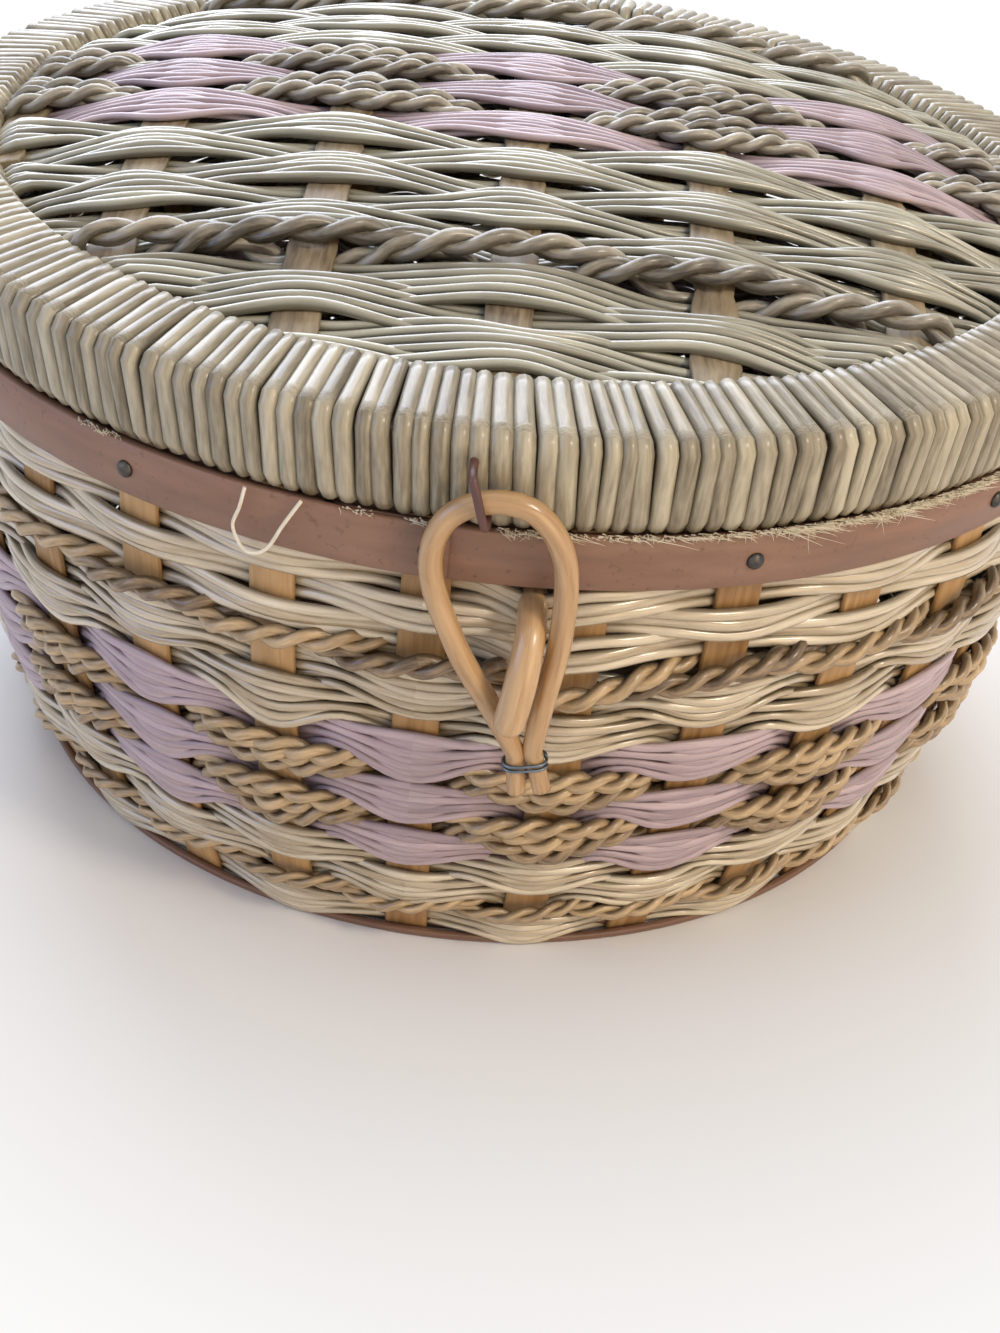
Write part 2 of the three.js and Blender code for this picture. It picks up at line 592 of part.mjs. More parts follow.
// Reed rows and a seagrass twine on each side of the middle
[['front', -1], ['back', 1]].forEach(([side, sign]) => {
  let out = (bandRows * LID_BAND_PITCH) / 2 + sign * LID_BAND_BACK;
  let row = middleStake + 1;
  const reedRun = (name, pitch, rows) => {
    const strips = Array.from({ length: rows }, (_, i) => {
      const near = out + i * pitch + (i > 0 ? -JOIN / 2 : FIT / 2);
      const far = out + (i + 1) * pitch + (i < rows - 1 ? JOIN / 2 : -FIT / 2);
      const strip = lidRow(sign * near, sign * far, REED_THICK, overAlternate(row));
      row += 1;
      return strip;
    });
    addMesh(lid, name, join(strips), reedFinish);
    out += rows * pitch;
  };
  const edgeWidth = LID_EDGE_MARGIN + LID_EDGE_ROWS * LID_EDGE_PITCH + LID_TWINE_PITCH;
  reedRun(`lid_${side}_reed_rows`, (panelRadius - edgeWidth - out) / LID_REED_ROWS, LID_REED_ROWS);
  const twine = lidRow(
    sign * (out + FIT / 2),
    sign * (out + LID_TWINE_PITCH - FIT / 2),
    TWINE_THICK,
    overEvery,
  );
  addMesh(lid, `lid_${side}_twine`, twine, seagrassFinish);
  out += LID_TWINE_PITCH;
  reedRun(`lid_${side}_edge_rows`, LID_EDGE_PITCH, LID_EDGE_ROWS);
});

// Latch loop: one bent cane, hung in the staple with its two ends tied below the hook
const latch = new THREE.Group();
latch.position.set(0, -loopPlane, LATCH_HEIGHT);
latch.rotation.y = -LOOP_TILT;
const tailOffset = (CANE + TAIL_GAP) / 2;
const rightArm = [
  new THREE.Vector3(LOOP_HALF_WIDTH * 0.68, 0, -LOOP_LENGTH * 0.06),
  new THREE.Vector3(LOOP_HALF_WIDTH, 0, -LOOP_LENGTH * 0.25),
  new THREE.Vector3(LOOP_HALF_WIDTH * 0.8, 0, -LOOP_LENGTH * 0.55),
  new THREE.Vector3(LOOP_HALF_WIDTH * 0.45, 0, -LOOP_LENGTH * 0.79),
  new THREE.Vector3(tailOffset, 0, -LOOP_LENGTH),
  new THREE.Vector3(tailOffset, 0, -LOOP_LENGTH - TIE_BELOW),
  new THREE.Vector3(tailOffset + TAIL_SPLAY, 0, -LOOP_LENGTH - LOOP_TAIL),
];
const mirrored = (points) => points.map(({ x, y, z }) => new THREE.Vector3(-x, y, z));
const loopCurve = smooth([
  ...mirrored(rightArm).reverse(),
  new THREE.Vector3(0, 0, 0),
  ...rightArm,
]);
addMesh(latch, 'latch_loop', tube(loopCurve, CANE, 8, 36), caneFinish);

// Tie: a ring of wire round both ends of the loop
const tieSteps = 16;
const tieReach = CANE / 2 + FIT + TIE_WIRE / 2;
const tieSections = Array.from({ length: tieSteps }, (_, i) => {
  const turn = ((i + 0.5) / tieSteps) * 2 * Math.PI;
  const side = Math.cos(turn) > 0 ? tailOffset : -tailOffset;
  const outward = new THREE.Vector3(Math.cos(turn), Math.sin(turn), 0);
  const centre = outward.clone().multiplyScalar(tieReach).add(new THREE.Vector3(side, 0, 0));
  const half = TIE_WIRE / 2;
  return [
    centre.clone().addScaledVector(outward, -half),
    centre.clone().add(new THREE.Vector3(0, 0, -half)),
    centre.clone().addScaledVector(outward, half),
    centre.clone().add(new THREE.Vector3(0, 0, half)),
  ];
});
const tie = addMesh(latch, 'latch_tie', sweep(tieSections, true), tieFinish);
tie.position.z = -LOOP_LENGTH - TIE_BELOW;
lid.add(latch);

const sewingBasket = new THREE.Group();
sewingBasket.add(basket, lid);

export default sewingBasket;
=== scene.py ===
"""A round wicker sewing basket with a domed, hinged lid, laid strand by strand over its CAD model."""
import json
import math

import bpy
import numpy as np
from mathutils import Matrix, Vector


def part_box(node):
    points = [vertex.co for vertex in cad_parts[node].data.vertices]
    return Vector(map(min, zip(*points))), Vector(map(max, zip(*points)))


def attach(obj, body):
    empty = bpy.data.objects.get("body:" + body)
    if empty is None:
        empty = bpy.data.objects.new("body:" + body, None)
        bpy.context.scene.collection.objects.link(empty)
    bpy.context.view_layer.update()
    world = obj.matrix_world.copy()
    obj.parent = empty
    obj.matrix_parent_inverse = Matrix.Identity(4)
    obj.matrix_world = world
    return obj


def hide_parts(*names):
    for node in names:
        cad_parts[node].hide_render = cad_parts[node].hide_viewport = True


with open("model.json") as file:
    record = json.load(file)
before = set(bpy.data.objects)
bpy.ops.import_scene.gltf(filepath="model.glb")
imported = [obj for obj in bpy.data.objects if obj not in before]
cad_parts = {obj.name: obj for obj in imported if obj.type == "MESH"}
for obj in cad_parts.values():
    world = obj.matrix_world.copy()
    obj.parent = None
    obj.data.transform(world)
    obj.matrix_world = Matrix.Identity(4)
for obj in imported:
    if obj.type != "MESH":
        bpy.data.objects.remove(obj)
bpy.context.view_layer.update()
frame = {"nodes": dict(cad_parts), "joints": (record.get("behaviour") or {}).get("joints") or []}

# Base board
# A round of thin plywood closes the bottom and carries the basket on the floor.
# It is the CAD node itself, sanded and left bare.
MM = 0.001
SAWN_ROUGHNESS = 0.65
SAWN_BUMP = 0.2
SAWN_DEPTH = 0.3 * MM


def linear(colour):
    """The linear RGBA of an sRGB hex colour."""
    parts = [int(colour[i : i + 2], 16) / 255 for i in (1, 3, 5)]
    return [p / 12.92 if p <= 0.04045 else ((p + 0.055) / 1.055) ** 2.4 for p in parts] + [1]


def add_node(tree, kind, inputs=None, **settings):
    """Adds a shader node with its settings, and sets or links its inputs."""
    node = tree.nodes.new(kind)
    for name, value in settings.items():
        setattr(node, name, value)
    for name, value in (inputs or {}).items():
        if isinstance(value, bpy.types.NodeSocket):
            tree.links.new(value, node.inputs[name])
        else:
            node.inputs[name].default_value = value
    return node


def new_finish(name, roughness, metallic=0.0):
    """A material, its node tree and its shader."""
    material = bpy.data.materials.new(name)
    material.use_nodes = True
    shader = material.node_tree.nodes["Principled BSDF"]
    shader.inputs["Roughness"].default_value = roughness
    shader.inputs["Metallic"].default_value = metallic
    return material, material.node_tree, shader


def sawn_finish(name, pale, dark, streak, width):
    """Sawn wood with grain along X."""
    material, tree, shader = new_finish(name, SAWN_ROUGHNESS)
    spot = add_node(tree, "ShaderNodeTexCoord").outputs["Object"]
    scale = (1 / streak, 1 / width, 1 / width)
    spot = add_node(tree, "ShaderNodeVectorMath", {0: spot, 1: scale}, operation="MULTIPLY").outputs[0]
    grain = add_node(tree, "ShaderNodeTexNoise", {"Vector": spot, "Scale": 1.0, "Detail": 4.0}).outputs[0]
    tint = add_node(tree, "ShaderNodeMix", {0: grain, 6: linear(dark), 7: linear(pale)}, data_type="RGBA")
    tree.links.new(tint.outputs[2], shader.inputs["Base Color"])
    bump = add_node(
        tree, "ShaderNodeBump", {"Height": grain, "Strength": SAWN_BUMP, "Distance": SAWN_DEPTH}
    )
    tree.links.new(bump.outputs[0], shader.inputs["Normal"])
    return material


def finish_node(node, material):
    """Puts a finish on a CAD node that is shown itself."""
    materials = frame["nodes"][node].data.materials
    materials.clear()
    materials.append(material)


# Birch plywood, sanded: long soft grain streaks across a pale warm board.
plywood = sawn_finish("birch_plywood", "#bd9a6c", "#8f6c45", streak=60 * MM, width=2 * MM)
finish_node("base_board", plywood)

# Body stakes
# Twenty-eight flat splints, split from a log and shaved, stand round the wall and lean out like a bowl.
# Their feet are fastened to a hoop inside the foot, and their tops are nailed between the rim hoops.
FULL_TURN = 2 * math.pi
RIM_RADIUS = 143.5 * MM
FOOT_RADIUS = 119 * MM
BODY_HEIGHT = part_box("stake_crown")[1].z
STAKE_COUNT = 28
FIRST_STAKE = math.radians(-4.25)
STAKE_STEP = FULL_TURN / STAKE_COUNT
STAKE_WIDTH = 10 * MM
STAKE_THICK = 1.4 * MM
STAKE_ROUNDING = 0.35 * MM
STAKE_RINGS = 25
GRAIN_APART = 90.0
FINE_TO_COARSE = 3
FIBRE_BUMP = 0.5
ROUGHNESS_PLAY = 0.3
COAT_ROUGHNESS = 0.18
# How far round a strand the painted shade between neighbouring strands reaches.
CREVICE_SHADE_FROM, CREVICE_SHADE_TO = 0.1, 0.85
chance = np.random.default_rng(30)


def directions(azimuth):
    """The outward and sideways directions at a place round the basket; azimuth 0 is the front."""
    out = np.array([math.sin(azimuth), -math.cos(azimuth), 0])
    side = np.array([math.cos(azimuth), math.sin(azimuth), 0])
    return out, side


def wall_radius(z):
    """The radius of the bowl-shaped wall at a height."""
    return RIM_RADIUS - (RIM_RADIUS - FOOT_RADIUS) * (1 - z / BODY_HEIGHT) ** 2


def wall(azimuth, z, offset):
    """Points on the wall of the body, offset outwards."""
    radius = wall_radius(z) + offset
    parts = np.broadcast_arrays(radius * np.sin(azimuth), -radius * np.cos(azimuth), z)
    return np.stack(parts, -1)


def skin(rings, closed=False, tone=0.5):
    """A closed surface through rings of points, with the length along it and the turn round it as UV."""
    count, sides = rings.shape[:2]
    start = np.arange(count if closed else count - 1)
    side = np.arange(sides)
    near = start[:, None] * sides
    far = ((start + 1) % count)[:, None] * sides
    turned = (side + 1) % sides
    quads = np.stack([near + side, near + turned, far + turned, far + side], -1).reshape(-1, 4)
    points = rings.reshape(-1, 3)
    middle = rings.mean(1)
    step = np.linalg.norm(np.roll(middle, -1, 0) - middle, axis=1)
    along = np.concatenate([[0], np.cumsum(step)])
    u = np.stack([along[start], along[start], along[start + 1], along[start + 1]], -1)
    v = np.stack([side, side + 1, side + 1, side], -1) / sides
    uv = np.stack(np.broadcast_arrays(u[:, None, :], v[None, :, :]), -1).reshape(-1, 2)
    a, b, c, d = (points[quads[:, i]] - middle.mean(0) for i in range(4))
    volume = (a * np.cross(b, c)).sum() + (a * np.cross(c, d)).sum()
    first_cap = list(range(sides))[::-1]
    last_cap = list(range((count - 1) * sides, count * sides))
    faces = quads.tolist() + ([] if closed else [first_cap, last_cap])
    cap_uv = np.zeros((0 if closed else 2 * sides, 2))
    uv = np.concatenate([uv, cap_uv])
    if volume < 0:
        faces = [face[::-1] for face in faces]
        uv[: 4 * len(quads)] = uv[: 4 * len(quads)].reshape(-1, 4, 2)[:, ::-1].reshape(-1, 2)
    tones = np.repeat(np.broadcast_to(tone, count), sides)
    return points, faces, uv, tones


def lay_piece(name, skins, material, body, slot, *nodes):
    """One object from several surfaces, riding on a body in place of its CAD nodes."""
    points, faces, uvs, tones = [], [], [], []
    first = 0
    for skin_points, skin_faces, uv, tone in skins:
        points.append(skin_points)
        faces.extend([first + corner for corner in face] for face in skin_faces)
        uvs.append(uv)
        tones.append(tone)
        first += len(skin_points)
    mesh = bpy.data.meshes.new(name)
    mesh.from_pydata(np.concatenate(points).tolist(), [], faces)
    mesh.uv_layers.new(name="strand").data.foreach_set("uv", np.concatenate(uvs).ravel())
    mesh.attributes.new("tone", "FLOAT", "POINT").data.foreach_set("value", np.concatenate(tones))
    mesh.polygons.foreach_set("use_smooth", [len(face) == 4 for face in faces])
    mesh.materials.append(material)
    piece = bpy.data.objects.new(name, mesh)
    bpy.context.scene.collection.objects.link(piece)
    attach(piece, body)
    if nodes:
        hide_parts(*nodes)


def grain_finish(name, pale, dark, streak, lines, roughness, depth, spread=0.6, coat=0.0, crevice_shade=0.0):
    """Plant fibre: streaks along the strand, fine lines round it, and a tone of its own for each strand.
    Crevice shade is painted shade: it darkens the sides and back of a round strand, where it lies in shadow
    between its neighbours."""
    material, tree, shader = new_finish(name, roughness)
    shader.inputs["Coat Weight"].default_value = coat
    shader.inputs["Coat Roughness"].default_value = COAT_ROUGHNESS
    place = add_node(tree, "ShaderNodeUVMap", uv_map="strand").outputs[0]
    tone = add_node(tree, "ShaderNodeAttribute", attribute_name="tone").outputs["Fac"]
    apart = add_node(tree, "ShaderNodeMath", {0: tone, 1: GRAIN_APART}, operation="MULTIPLY").outputs[0]
    apart = add_node(tree, "ShaderNodeCombineXYZ", {"Z": apart}).outputs[0]
    coarse_scale = (1 / streak, lines / FINE_TO_COARSE, 0)
    coarse = add_node(tree, "ShaderNodeVectorMath", {0: place, 1: coarse_scale, 2: apart})
    coarse.operation = "MULTIPLY_ADD"
    fine_scale = (FINE_TO_COARSE / streak, lines, 0)
    fine = add_node(tree, "ShaderNodeVectorMath", {0: place, 1: fine_scale, 2: apart})
    fine.operation = "MULTIPLY_ADD"
    blotch = add_node(
        tree, "ShaderNodeTexNoise", {"Vector": coarse.outputs[0], "Scale": 1.0, "Detail": 3.0}
    ).outputs[0]
    fibre = add_node(
        tree, "ShaderNodeTexNoise", {"Vector": fine.outputs[0], "Scale": 1.0, "Detail": 2.0}
    ).outputs[0]
    both = add_node(tree, "ShaderNodeMath", {0: blotch, 1: fibre}, operation="ADD").outputs[0]
    shade = add_node(
        tree, "ShaderNodeMath", {0: tone, 1: spread, 2: -0.5 - spread / 2}, operation="MULTIPLY_ADD"
    ).outputs[0]
    level = add_node(tree, "ShaderNodeMath", {0: both, 1: shade}, operation="ADD").outputs[0]
    tint = add_node(tree, "ShaderNodeMix", {0: level, 6: linear(dark), 7: linear(pale)}, data_type="RGBA")
    # Painted shade: the colour darkens on the sides and back of each strand, where it lies in shadow between
    # its neighbours.
    around = add_node(tree, "ShaderNodeSeparateXYZ", {0: place}).outputs["Y"]
    around = add_node(tree, "ShaderNodeMath", {0: around, 1: FULL_TURN}, operation="MULTIPLY").outputs[0]
    facing = add_node(tree, "ShaderNodeMath", {0: around}, operation="SINE").outputs[0]
    unshaded = add_node(
        tree, "ShaderNodeMapRange", {0: facing, 1: CREVICE_SHADE_FROM, 2: CREVICE_SHADE_TO, 3: 1 - crevice_shade, 4: 1.0}
    ).outputs[0]
    tint = add_node(tree, "ShaderNodeVectorMath", {0: tint.outputs[2], "Scale": unshaded}, operation="SCALE")
    tree.links.new(tint.outputs[0], shader.inputs["Base Color"])
    rough = add_node(
        tree, "ShaderNodeMath", {0: fibre, 1: ROUGHNESS_PLAY, 2: roughness - ROUGHNESS_PLAY / 2}
    )
    rough.operation = "MULTIPLY_ADD"
    tree.links.new(rough.outputs[0], shader.inputs["Roughness"])
    bump = add_node(
        tree, "ShaderNodeBump", {"Height": fibre, "Strength": FIBRE_BUMP, "Distance": depth}
    )
    tree.links.new(bump.outputs[0], shader.inputs["Normal"])
    return material


# Shaved ash splint, aged to amber: straight fine grain up the strip, satin where hands have rubbed it.
amber_splint = grain_finish(
    "amber_ash_splint", "#cda571", "#946d41", streak=45 * MM, lines=70, roughness=0.5, depth=0.2 * MM
)
half_width, half_thick = STAKE_WIDTH / 2, STAKE_THICK / 2
across = np.array([-1, -1, 1, 1, 1, 1, -1, -1]) * half_width
across += np.array([0, 1, -1, 0, 0, -1, 1, 0]) * STAKE_ROUNDING
through = np.array([-1, -1, -1, -1, 1, 1, 1, 1]) * half_thick
through += np.array([1, 0, 0, 1, -1, 0, 0, -1]) * STAKE_ROUNDING
stake_z = np.linspace(0, BODY_HEIGHT, STAKE_RINGS)
splints = []
for i in range(STAKE_COUNT):
    azimuth = FIRST_STAKE + i * STAKE_STEP
    _, side = directions(azimuth)
    rings = wall(azimuth, stake_z[:, None], through[None, :]) + across[None, :, None] * side
    splints.append(skin(rings, tone=chance.uniform()))
lay_piece("body_stakes", splints, amber_splint, "basket", "stake_splint", "stake_crown")

# Foot hoops
# Two narrow bent hoops clamp the feet of the stakes, one inside and one outside.
# They are steamed wood, stained brown, and the outer one shows as a thin line at the floor.
INNER_FOOT_HEIGHT = 4.2 * MM
OUTER_FOOT_HEIGHT = 2.31 * MM
HOOP_THICK = 2.4 * MM
OUTER_FOOT_THICK = 1.44 * MM
HOOP_GAP = 0.7 * MM
HOOP_STEPS = 180
HOOP_EASE = 1 / 5
# Steamed wood, stained brown: an even colour with long faint grain along the strip.
hoop_wood = grain_finish(
    "stained_bent_wood", "#8c6a55", "#664938",
    streak=70 * MM, lines=40, roughness=0.5, depth=0.1 * MM, spread=0.2,
)


def hoop(low, high, inside, outside):
    """A bent strip round the wall with eased edges."""
    azimuth = np.linspace(0, FULL_TURN, HOOP_STEPS, endpoint=False)[:, None]
    ease = min(high - low, outside - inside) * HOOP_EASE
    inner, outer = inside + ease, outside - ease
    offset = np.array([inside, inner, outer, outside, outside, outer, inner, inside])
    z = np.array([low + ease, low, low, low + ease, high - ease, high, high, high - ease])
    return skin(wall(azimuth, z[None, :], offset[None, :]), closed=True)


hoop_inside = half_thick + HOOP_GAP
outer_foot = hoop(0, OUTER_FOOT_HEIGHT, half_thick, hoop_inside + OUTER_FOOT_THICK)
lay_piece("outer_foot_hoop", [outer_foot], hoop_wood, "basket", "hoop_wood", "foot_hoop")
inner_foot = hoop(0, INNER_FOOT_HEIGHT, -half_thick - HOOP_THICK, -half_thick)
lay_piece("inner_foot_hoop", [inner_foot], hoop_wood, "basket", "hoop_wood")

# Body weave
# Bundles of strands go round the wall, outside one stake and inside the next. A bundle spreads over
# the stake that it crosses and is drawn together where it passes between two stakes.
REED_RADIUS = 1.3 * MM
LOWER_REED_RADIUS = 1.25 * MM
PINK_RADIUS = 1.35 * MM
PINK_FLAT = 0.75
BODY_PLAY = (0.92, 1.06)
ROPE_RADIUS = 2.45 * MM
ROPE_LAY = 14 * MM
PLY_OUT, PLY_RADIUS = 0.5, 0.55
PLY_WAVER = 0.07
PLY_TONE = 0.2
WEAVE_STEPS, ROPE_STEPS = 12, 24
WAVE_COUNT = 4
FEWEST_WAVES, MOST_WAVES = 3, 18
ROW_WAVER, STRAND_WAVER = 0.35 * MM, 0.15 * MM
FAN_WAVER = 0.12
ROW_OVERLAP = 1.12
ROW_DROOP = 0.3
INSIDE_SPREAD, ROPE_INSIDE_SPREAD = 1.35, 1.1
WEAVE_PULL = 0.85
WEAVE_GAP = 0.2 * MM
FLOOR_CLEARANCE = 1.1
LEAST_PITCH = 0.1 * MM
BUNDLE_HEAP, BUNDLE_CROWN = 0.8, 0.35
LOOSE_COUNT = 3
BODY_DRAW = 0.24
TWINE_CROSS = 0.24
TOP_ROOM = 0.15 * MM
TWINE_RISE = 0.2 * MM
DIP_AT, DIP_WIDTH, DIP_DEPTH = 0.15, 0.11, 5.5 * MM
HOOK_AT, HOOK_DENT_WIDTH, HOOK_DENT = 0.075, 0.055, 3 * MM
FOOT_SAG = 1 * MM


def wander(turn, amount):
    """A slow, even waver along a strand that closes after a full turn."""
    waves = chance.integers(FEWEST_WAVES, MOST_WAVES + 1, WAVE_COUNT)[:, None]
    starts = chance.uniform(0, FULL_TURN, WAVE_COUNT)[:, None]
    return amount * np.sin(waves * turn + starts).sum(0) / math.sqrt(WAVE_COUNT)


def frames(path, normal, closed):
    """The sideways and outward directions at each point of a strand."""
    ahead = np.roll(path, -1, 0) - np.roll(path, 1, 0)
    if not closed:
        ahead[0], ahead[-1] = path[1] - path[0], path[-1] - path[-2]
    sideways = np.cross(ahead, normal)
    sideways /= np.linalg.norm(sideways, axis=1, keepdims=True)
    outward = np.cross(sideways, ahead)
    outward /= np.linalg.norm(outward, axis=1, keepdims=True)
    return sideways, outward


def strand(path, normal, radius, closed=False, flat=1.0, sides=8, tone=None):
    """A round or flattened strand along a path."""
    sideways, outward = frames(path, normal, closed)
    turn = (np.arange(sides) / sides * FULL_TURN)[None, :, None]
    radius = np.broadcast_to(radius, len(path))[:, None, None]
    ring = np.cos(turn) * sideways[:, None] + flat * np.sin(turn) * outward[:, None]
    return skin(path[:, None] + radius * ring, closed, chance.uniform() if tone is None else tone)


def rope(path, normal, radius, lay, closed=False):
    """Two plies twisted together along a path."""
    sideways, outward = frames(path, normal, closed)
    step = np.linalg.norm(np.roll(path, -1, 0) - path, axis=1)
    along = np.concatenate([[0], np.cumsum(step)[:-1]])
    turns = round(step.sum() / lay) / step.sum()
    rope_tone = chance.uniform()
    plies = []
    for ply in (0, math.pi):
        angle = (FULL_TURN * turns * along + ply)[:, None]
        twisted = path + PLY_OUT * radius * (np.cos(angle) * sideways + np.sin(angle) * outward)
        thick = PLY_RADIUS * radius * (1 + wander(along / along[-1] * FULL_TURN, PLY_WAVER))
        tone = rope_tone + chance.uniform(-PLY_TONE, PLY_TONE)
        plies.append(strand(twisted, normal, thick, closed, tone=tone))
    return plies


def strand_pitch(room, count, radius):
    """The distance from strand to strand in a bundle that fills a room."""
    return (room - 2 * radius) / max(count - 1, 1)


def bundle_shape(i, count, radius, pitch, between):
    """How far a strand is heaped on its neighbours between stakes, and how far it rises over a stake."""
    squeezed = min(1, max(0, 2 * radius / max(pitch, LEAST_PITCH) - 1))
    heap = (-1) ** i * squeezed * BUNDLE_HEAP * radius
    place = i - (count - 1) / 2
    crown = BUNDLE_CROWN * radius * (1 - (2 * place / max(count - 1, 1)) ** 2) * (1 - between)
    return heap * between, crown


def body_row(z, height, spread, count, radius, outside, steps, lean=None, inside_spread=INSIDE_SPREAD):
    """Paths of one row; outside is 0 where it passes outside the first stake and 1 where inside."""
    turn = np.arange(STAKE_COUNT * steps) / (STAKE_COUNT * steps) * FULL_TURN
    azimuth = FIRST_STAKE + turn
    phase = turn / STAKE_STEP + outside
    swing = np.cos(math.pi * phase)
    between = np.sin(math.pi * phase) ** 2
    spacing = STAKE_STEP * wall_radius(z)
    lift = WEAVE_PULL * (half_thick + radius + WEAVE_GAP) / math.cos(math.pi * half_width / spacing)
    normal = wall(azimuth, BODY_HEIGHT, 0) * (1, 1, 0)
    drop = wander(turn, ROW_WAVER) + (0 if lean is None else lean(azimuth))
    fan = spread * (1 + (inside_spread - 1) * (1 - swing) / 2) * (1 + wander(turn, FAN_WAVER))
    wide = strand_pitch(fan, count, radius)
    narrow = strand_pitch(ROW_OVERLAP * height, count, radius)
    for i in range(count):
        place = i - (count - 1) / 2
        level = z + drop + place * (wide * (1 - between) + narrow * between) + wander(turn, STRAND_WAVER)
        level -= ROW_DROOP * (fan - height) * (1 - between)
        level = np.maximum(level, FLOOR_CLEARANCE * radius)
        heap, crown = bundle_shape(i, count, radius, narrow, between)
        offset = swing * lift + heap + wander(turn, STRAND_WAVER)
        offset += crown * np.sign(swing)
        drawn = 1 - BODY_DRAW * between * (count > LOOSE_COUNT)
        yield wall(azimuth, level, offset), normal, radius * drawn


def dent(azimuth, place, width, depth):
    """A smooth dip in a row at one place round the wall."""
    apart = np.angle(np.exp(1j * (azimuth - place)))
    return depth * np.exp(-((apart / width) ** 2))


def twine_dip(azimuth):
    """The upper twine was beaten down beside the hook."""
    return TWINE_RISE - dent(azimuth, DIP_AT, DIP_WIDTH, DIP_DEPTH)


def under_hook(azimuth):
    """The top rows bend down under the hook."""
    return -dent(azimuth, HOOK_AT, HOOK_DENT_WIDTH, HOOK_DENT)


def foot_sag(azimuth):
    """The lowest row has slipped down over the foot hoop."""
    return np.full_like(azimuth, -FOOT_SAG)


# Round reed, the core of rattan, weathered straw: glossy skin, faint long streaks, a few darker lengths.
# Its sides and back are darkened with painted shade between the strands.
body_reed = grain_finish(
    "weathered_round_reed", "#e2d5bb", "#a38e6b",
    streak=30 * MM, lines=9, roughness=0.3, depth=0.12 * MM, coat=1.0, crevice_shade=0.65,
)
# Reed dyed lavender pink: the dye is uneven and pearly, and the straw shows through at the edges.
# Its sides and back are darkened a little with painted shade between the strands.
pink_reed = grain_finish(
    "pink_dyed_reed", "#cab5b8", "#958187",
    streak=26 * MM, lines=9, roughness=0.44, depth=0.1 * MM, coat=0.15, crevice_shade=0.25,
)
# Twisted seagrass: brown, dry and fibrous, with lines along each ply, drawn coarser than the real fibres.
# The sides and back of each ply are darkened with painted shade between the ropes.
seagrass = grain_finish(
    "twisted_seagrass", "#ccaf84", "#57412c",
    streak=10 * MM, lines=11, roughness=0.42, depth=0.4 * MM, spread=0.7, coat=0.35, crevice_shade=0.6,
)


def reed_rows(
    name, node, top, first_row, heights, spread, count, radius=REED_RADIUS, inside_spread=INSIDE_SPREAD,
    lean=None, material=body_reed, slot="reed", flat=1.0,
):
    """Rows from a level down, each on the other side of the first stake; gives the level below them."""
    skins = []
    for row, height in enumerate(heights, first_row):
        middle = top - height / 2
        paths = body_row(middle, height, spread, count, radius, row % 2, WEAVE_STEPS, lean, inside_spread)
        for path, normal, thick in paths:
            thick = thick * chance.uniform(*BODY_PLAY)
            skins.append(strand(path, normal, thick, closed=True, flat=flat))
        top -= height
    lay_piece(name, skins, material, "basket", slot, node)
    return top


def rope_row(name, node, top, row, height, spread, count):
    """A row of seagrass ropes side by side; gives the level below it."""
    skins = []
    middle = top - height / 2
    side = row % 2
    paths = body_row(middle, height, spread, count, ROPE_RADIUS, side, ROPE_STEPS, None, ROPE_INSIDE_SPREAD)
    for path, normal, _ in paths:
        skins.extend(rope(path, normal, ROPE_RADIUS, ROPE_LAY, closed=True))
    lay_piece(name, skins, seagrass, "basket", "seagrass", node)
    return top - height


def twine_row(name, nodes, top, height, radius, lay, lean=None):
    """Two ropes that cross between each two stakes, one outside and one inside; gives the level below."""
    skins = []
    middle = top - height / 2
    for outside in (0, 1):
        for path, normal, _ in body_row(middle, height, height, 1, radius, outside, ROPE_STEPS, lean):
            turn = np.arange(len(path)) / len(path) * FULL_TURN
            path[:, 2] += (1 - 2 * outside) * TWINE_CROSS * height * np.sin(math.pi * turn / STAKE_STEP)
            skins.extend(rope(path, normal, radius, lay, closed=True))
    lay_piece(name, skins, seagrass, "basket", "seagrass", *nodes)
    return top - height


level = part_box("upper_reed_rows")[1].z + TOP_ROOM
level = reed_rows(
    "upper_reeds", "upper_reed_rows", level, first_row=1, heights=[6.5 * MM] * 3,
    spread=7.6 * MM, count=3, radius=1.45 * MM, inside_spread=1.2, lean=under_hook,
)
level = twine_row(
    "upper_twine", ["upper_twine_a", "upper_twine_b"], level,
    height=5.9 * MM, radius=2.6 * MM, lay=16 * MM, lean=twine_dip,
)
level = reed_rows(
    "middle_reeds", "middle_reed_rows", level, first_row=4, heights=[9.2 * MM, 8.6 * MM],
    spread=13.6 * MM, count=6,
)
for i in (1, 2, 3):
    level = reed_rows(
        f"pink_strands_{i}", f"pink_row_{i}", level, first_row=4 + 2 * i, heights=[8.1 * MM],
        spread=14.2 * MM, count=7, radius=PINK_RADIUS, material=pink_reed, slot="pink_reed", flat=PINK_FLAT,
    )
    if i < 3:
        level = rope_row(
            f"seagrass_ropes_{i}", f"seagrass_row_{i}", level, row=5 + 2 * i,
            height=7.5 * MM, spread=13.2 * MM, count=3,
        )
level = reed_rows(
    "lower_reeds", "lower_reed_rows", level, first_row=11, heights=[8 * MM] * 2,
    spread=12.2 * MM, count=6, radius=LOWER_REED_RADIUS,
)
level = twine_row(
    "lower_twine_ropes", ["lower_twine"], level, height=6 * MM, radius=2 * MM, lay=14 * MM
)
reed_rows(
    "foot_reeds", "foot_reed_row", level, first_row=13, heights=[7.6 * MM],
    spread=10.6 * MM, count=5, radius=LOWER_REED_RADIUS, inside_spread=1, lean=foot_sag,
)

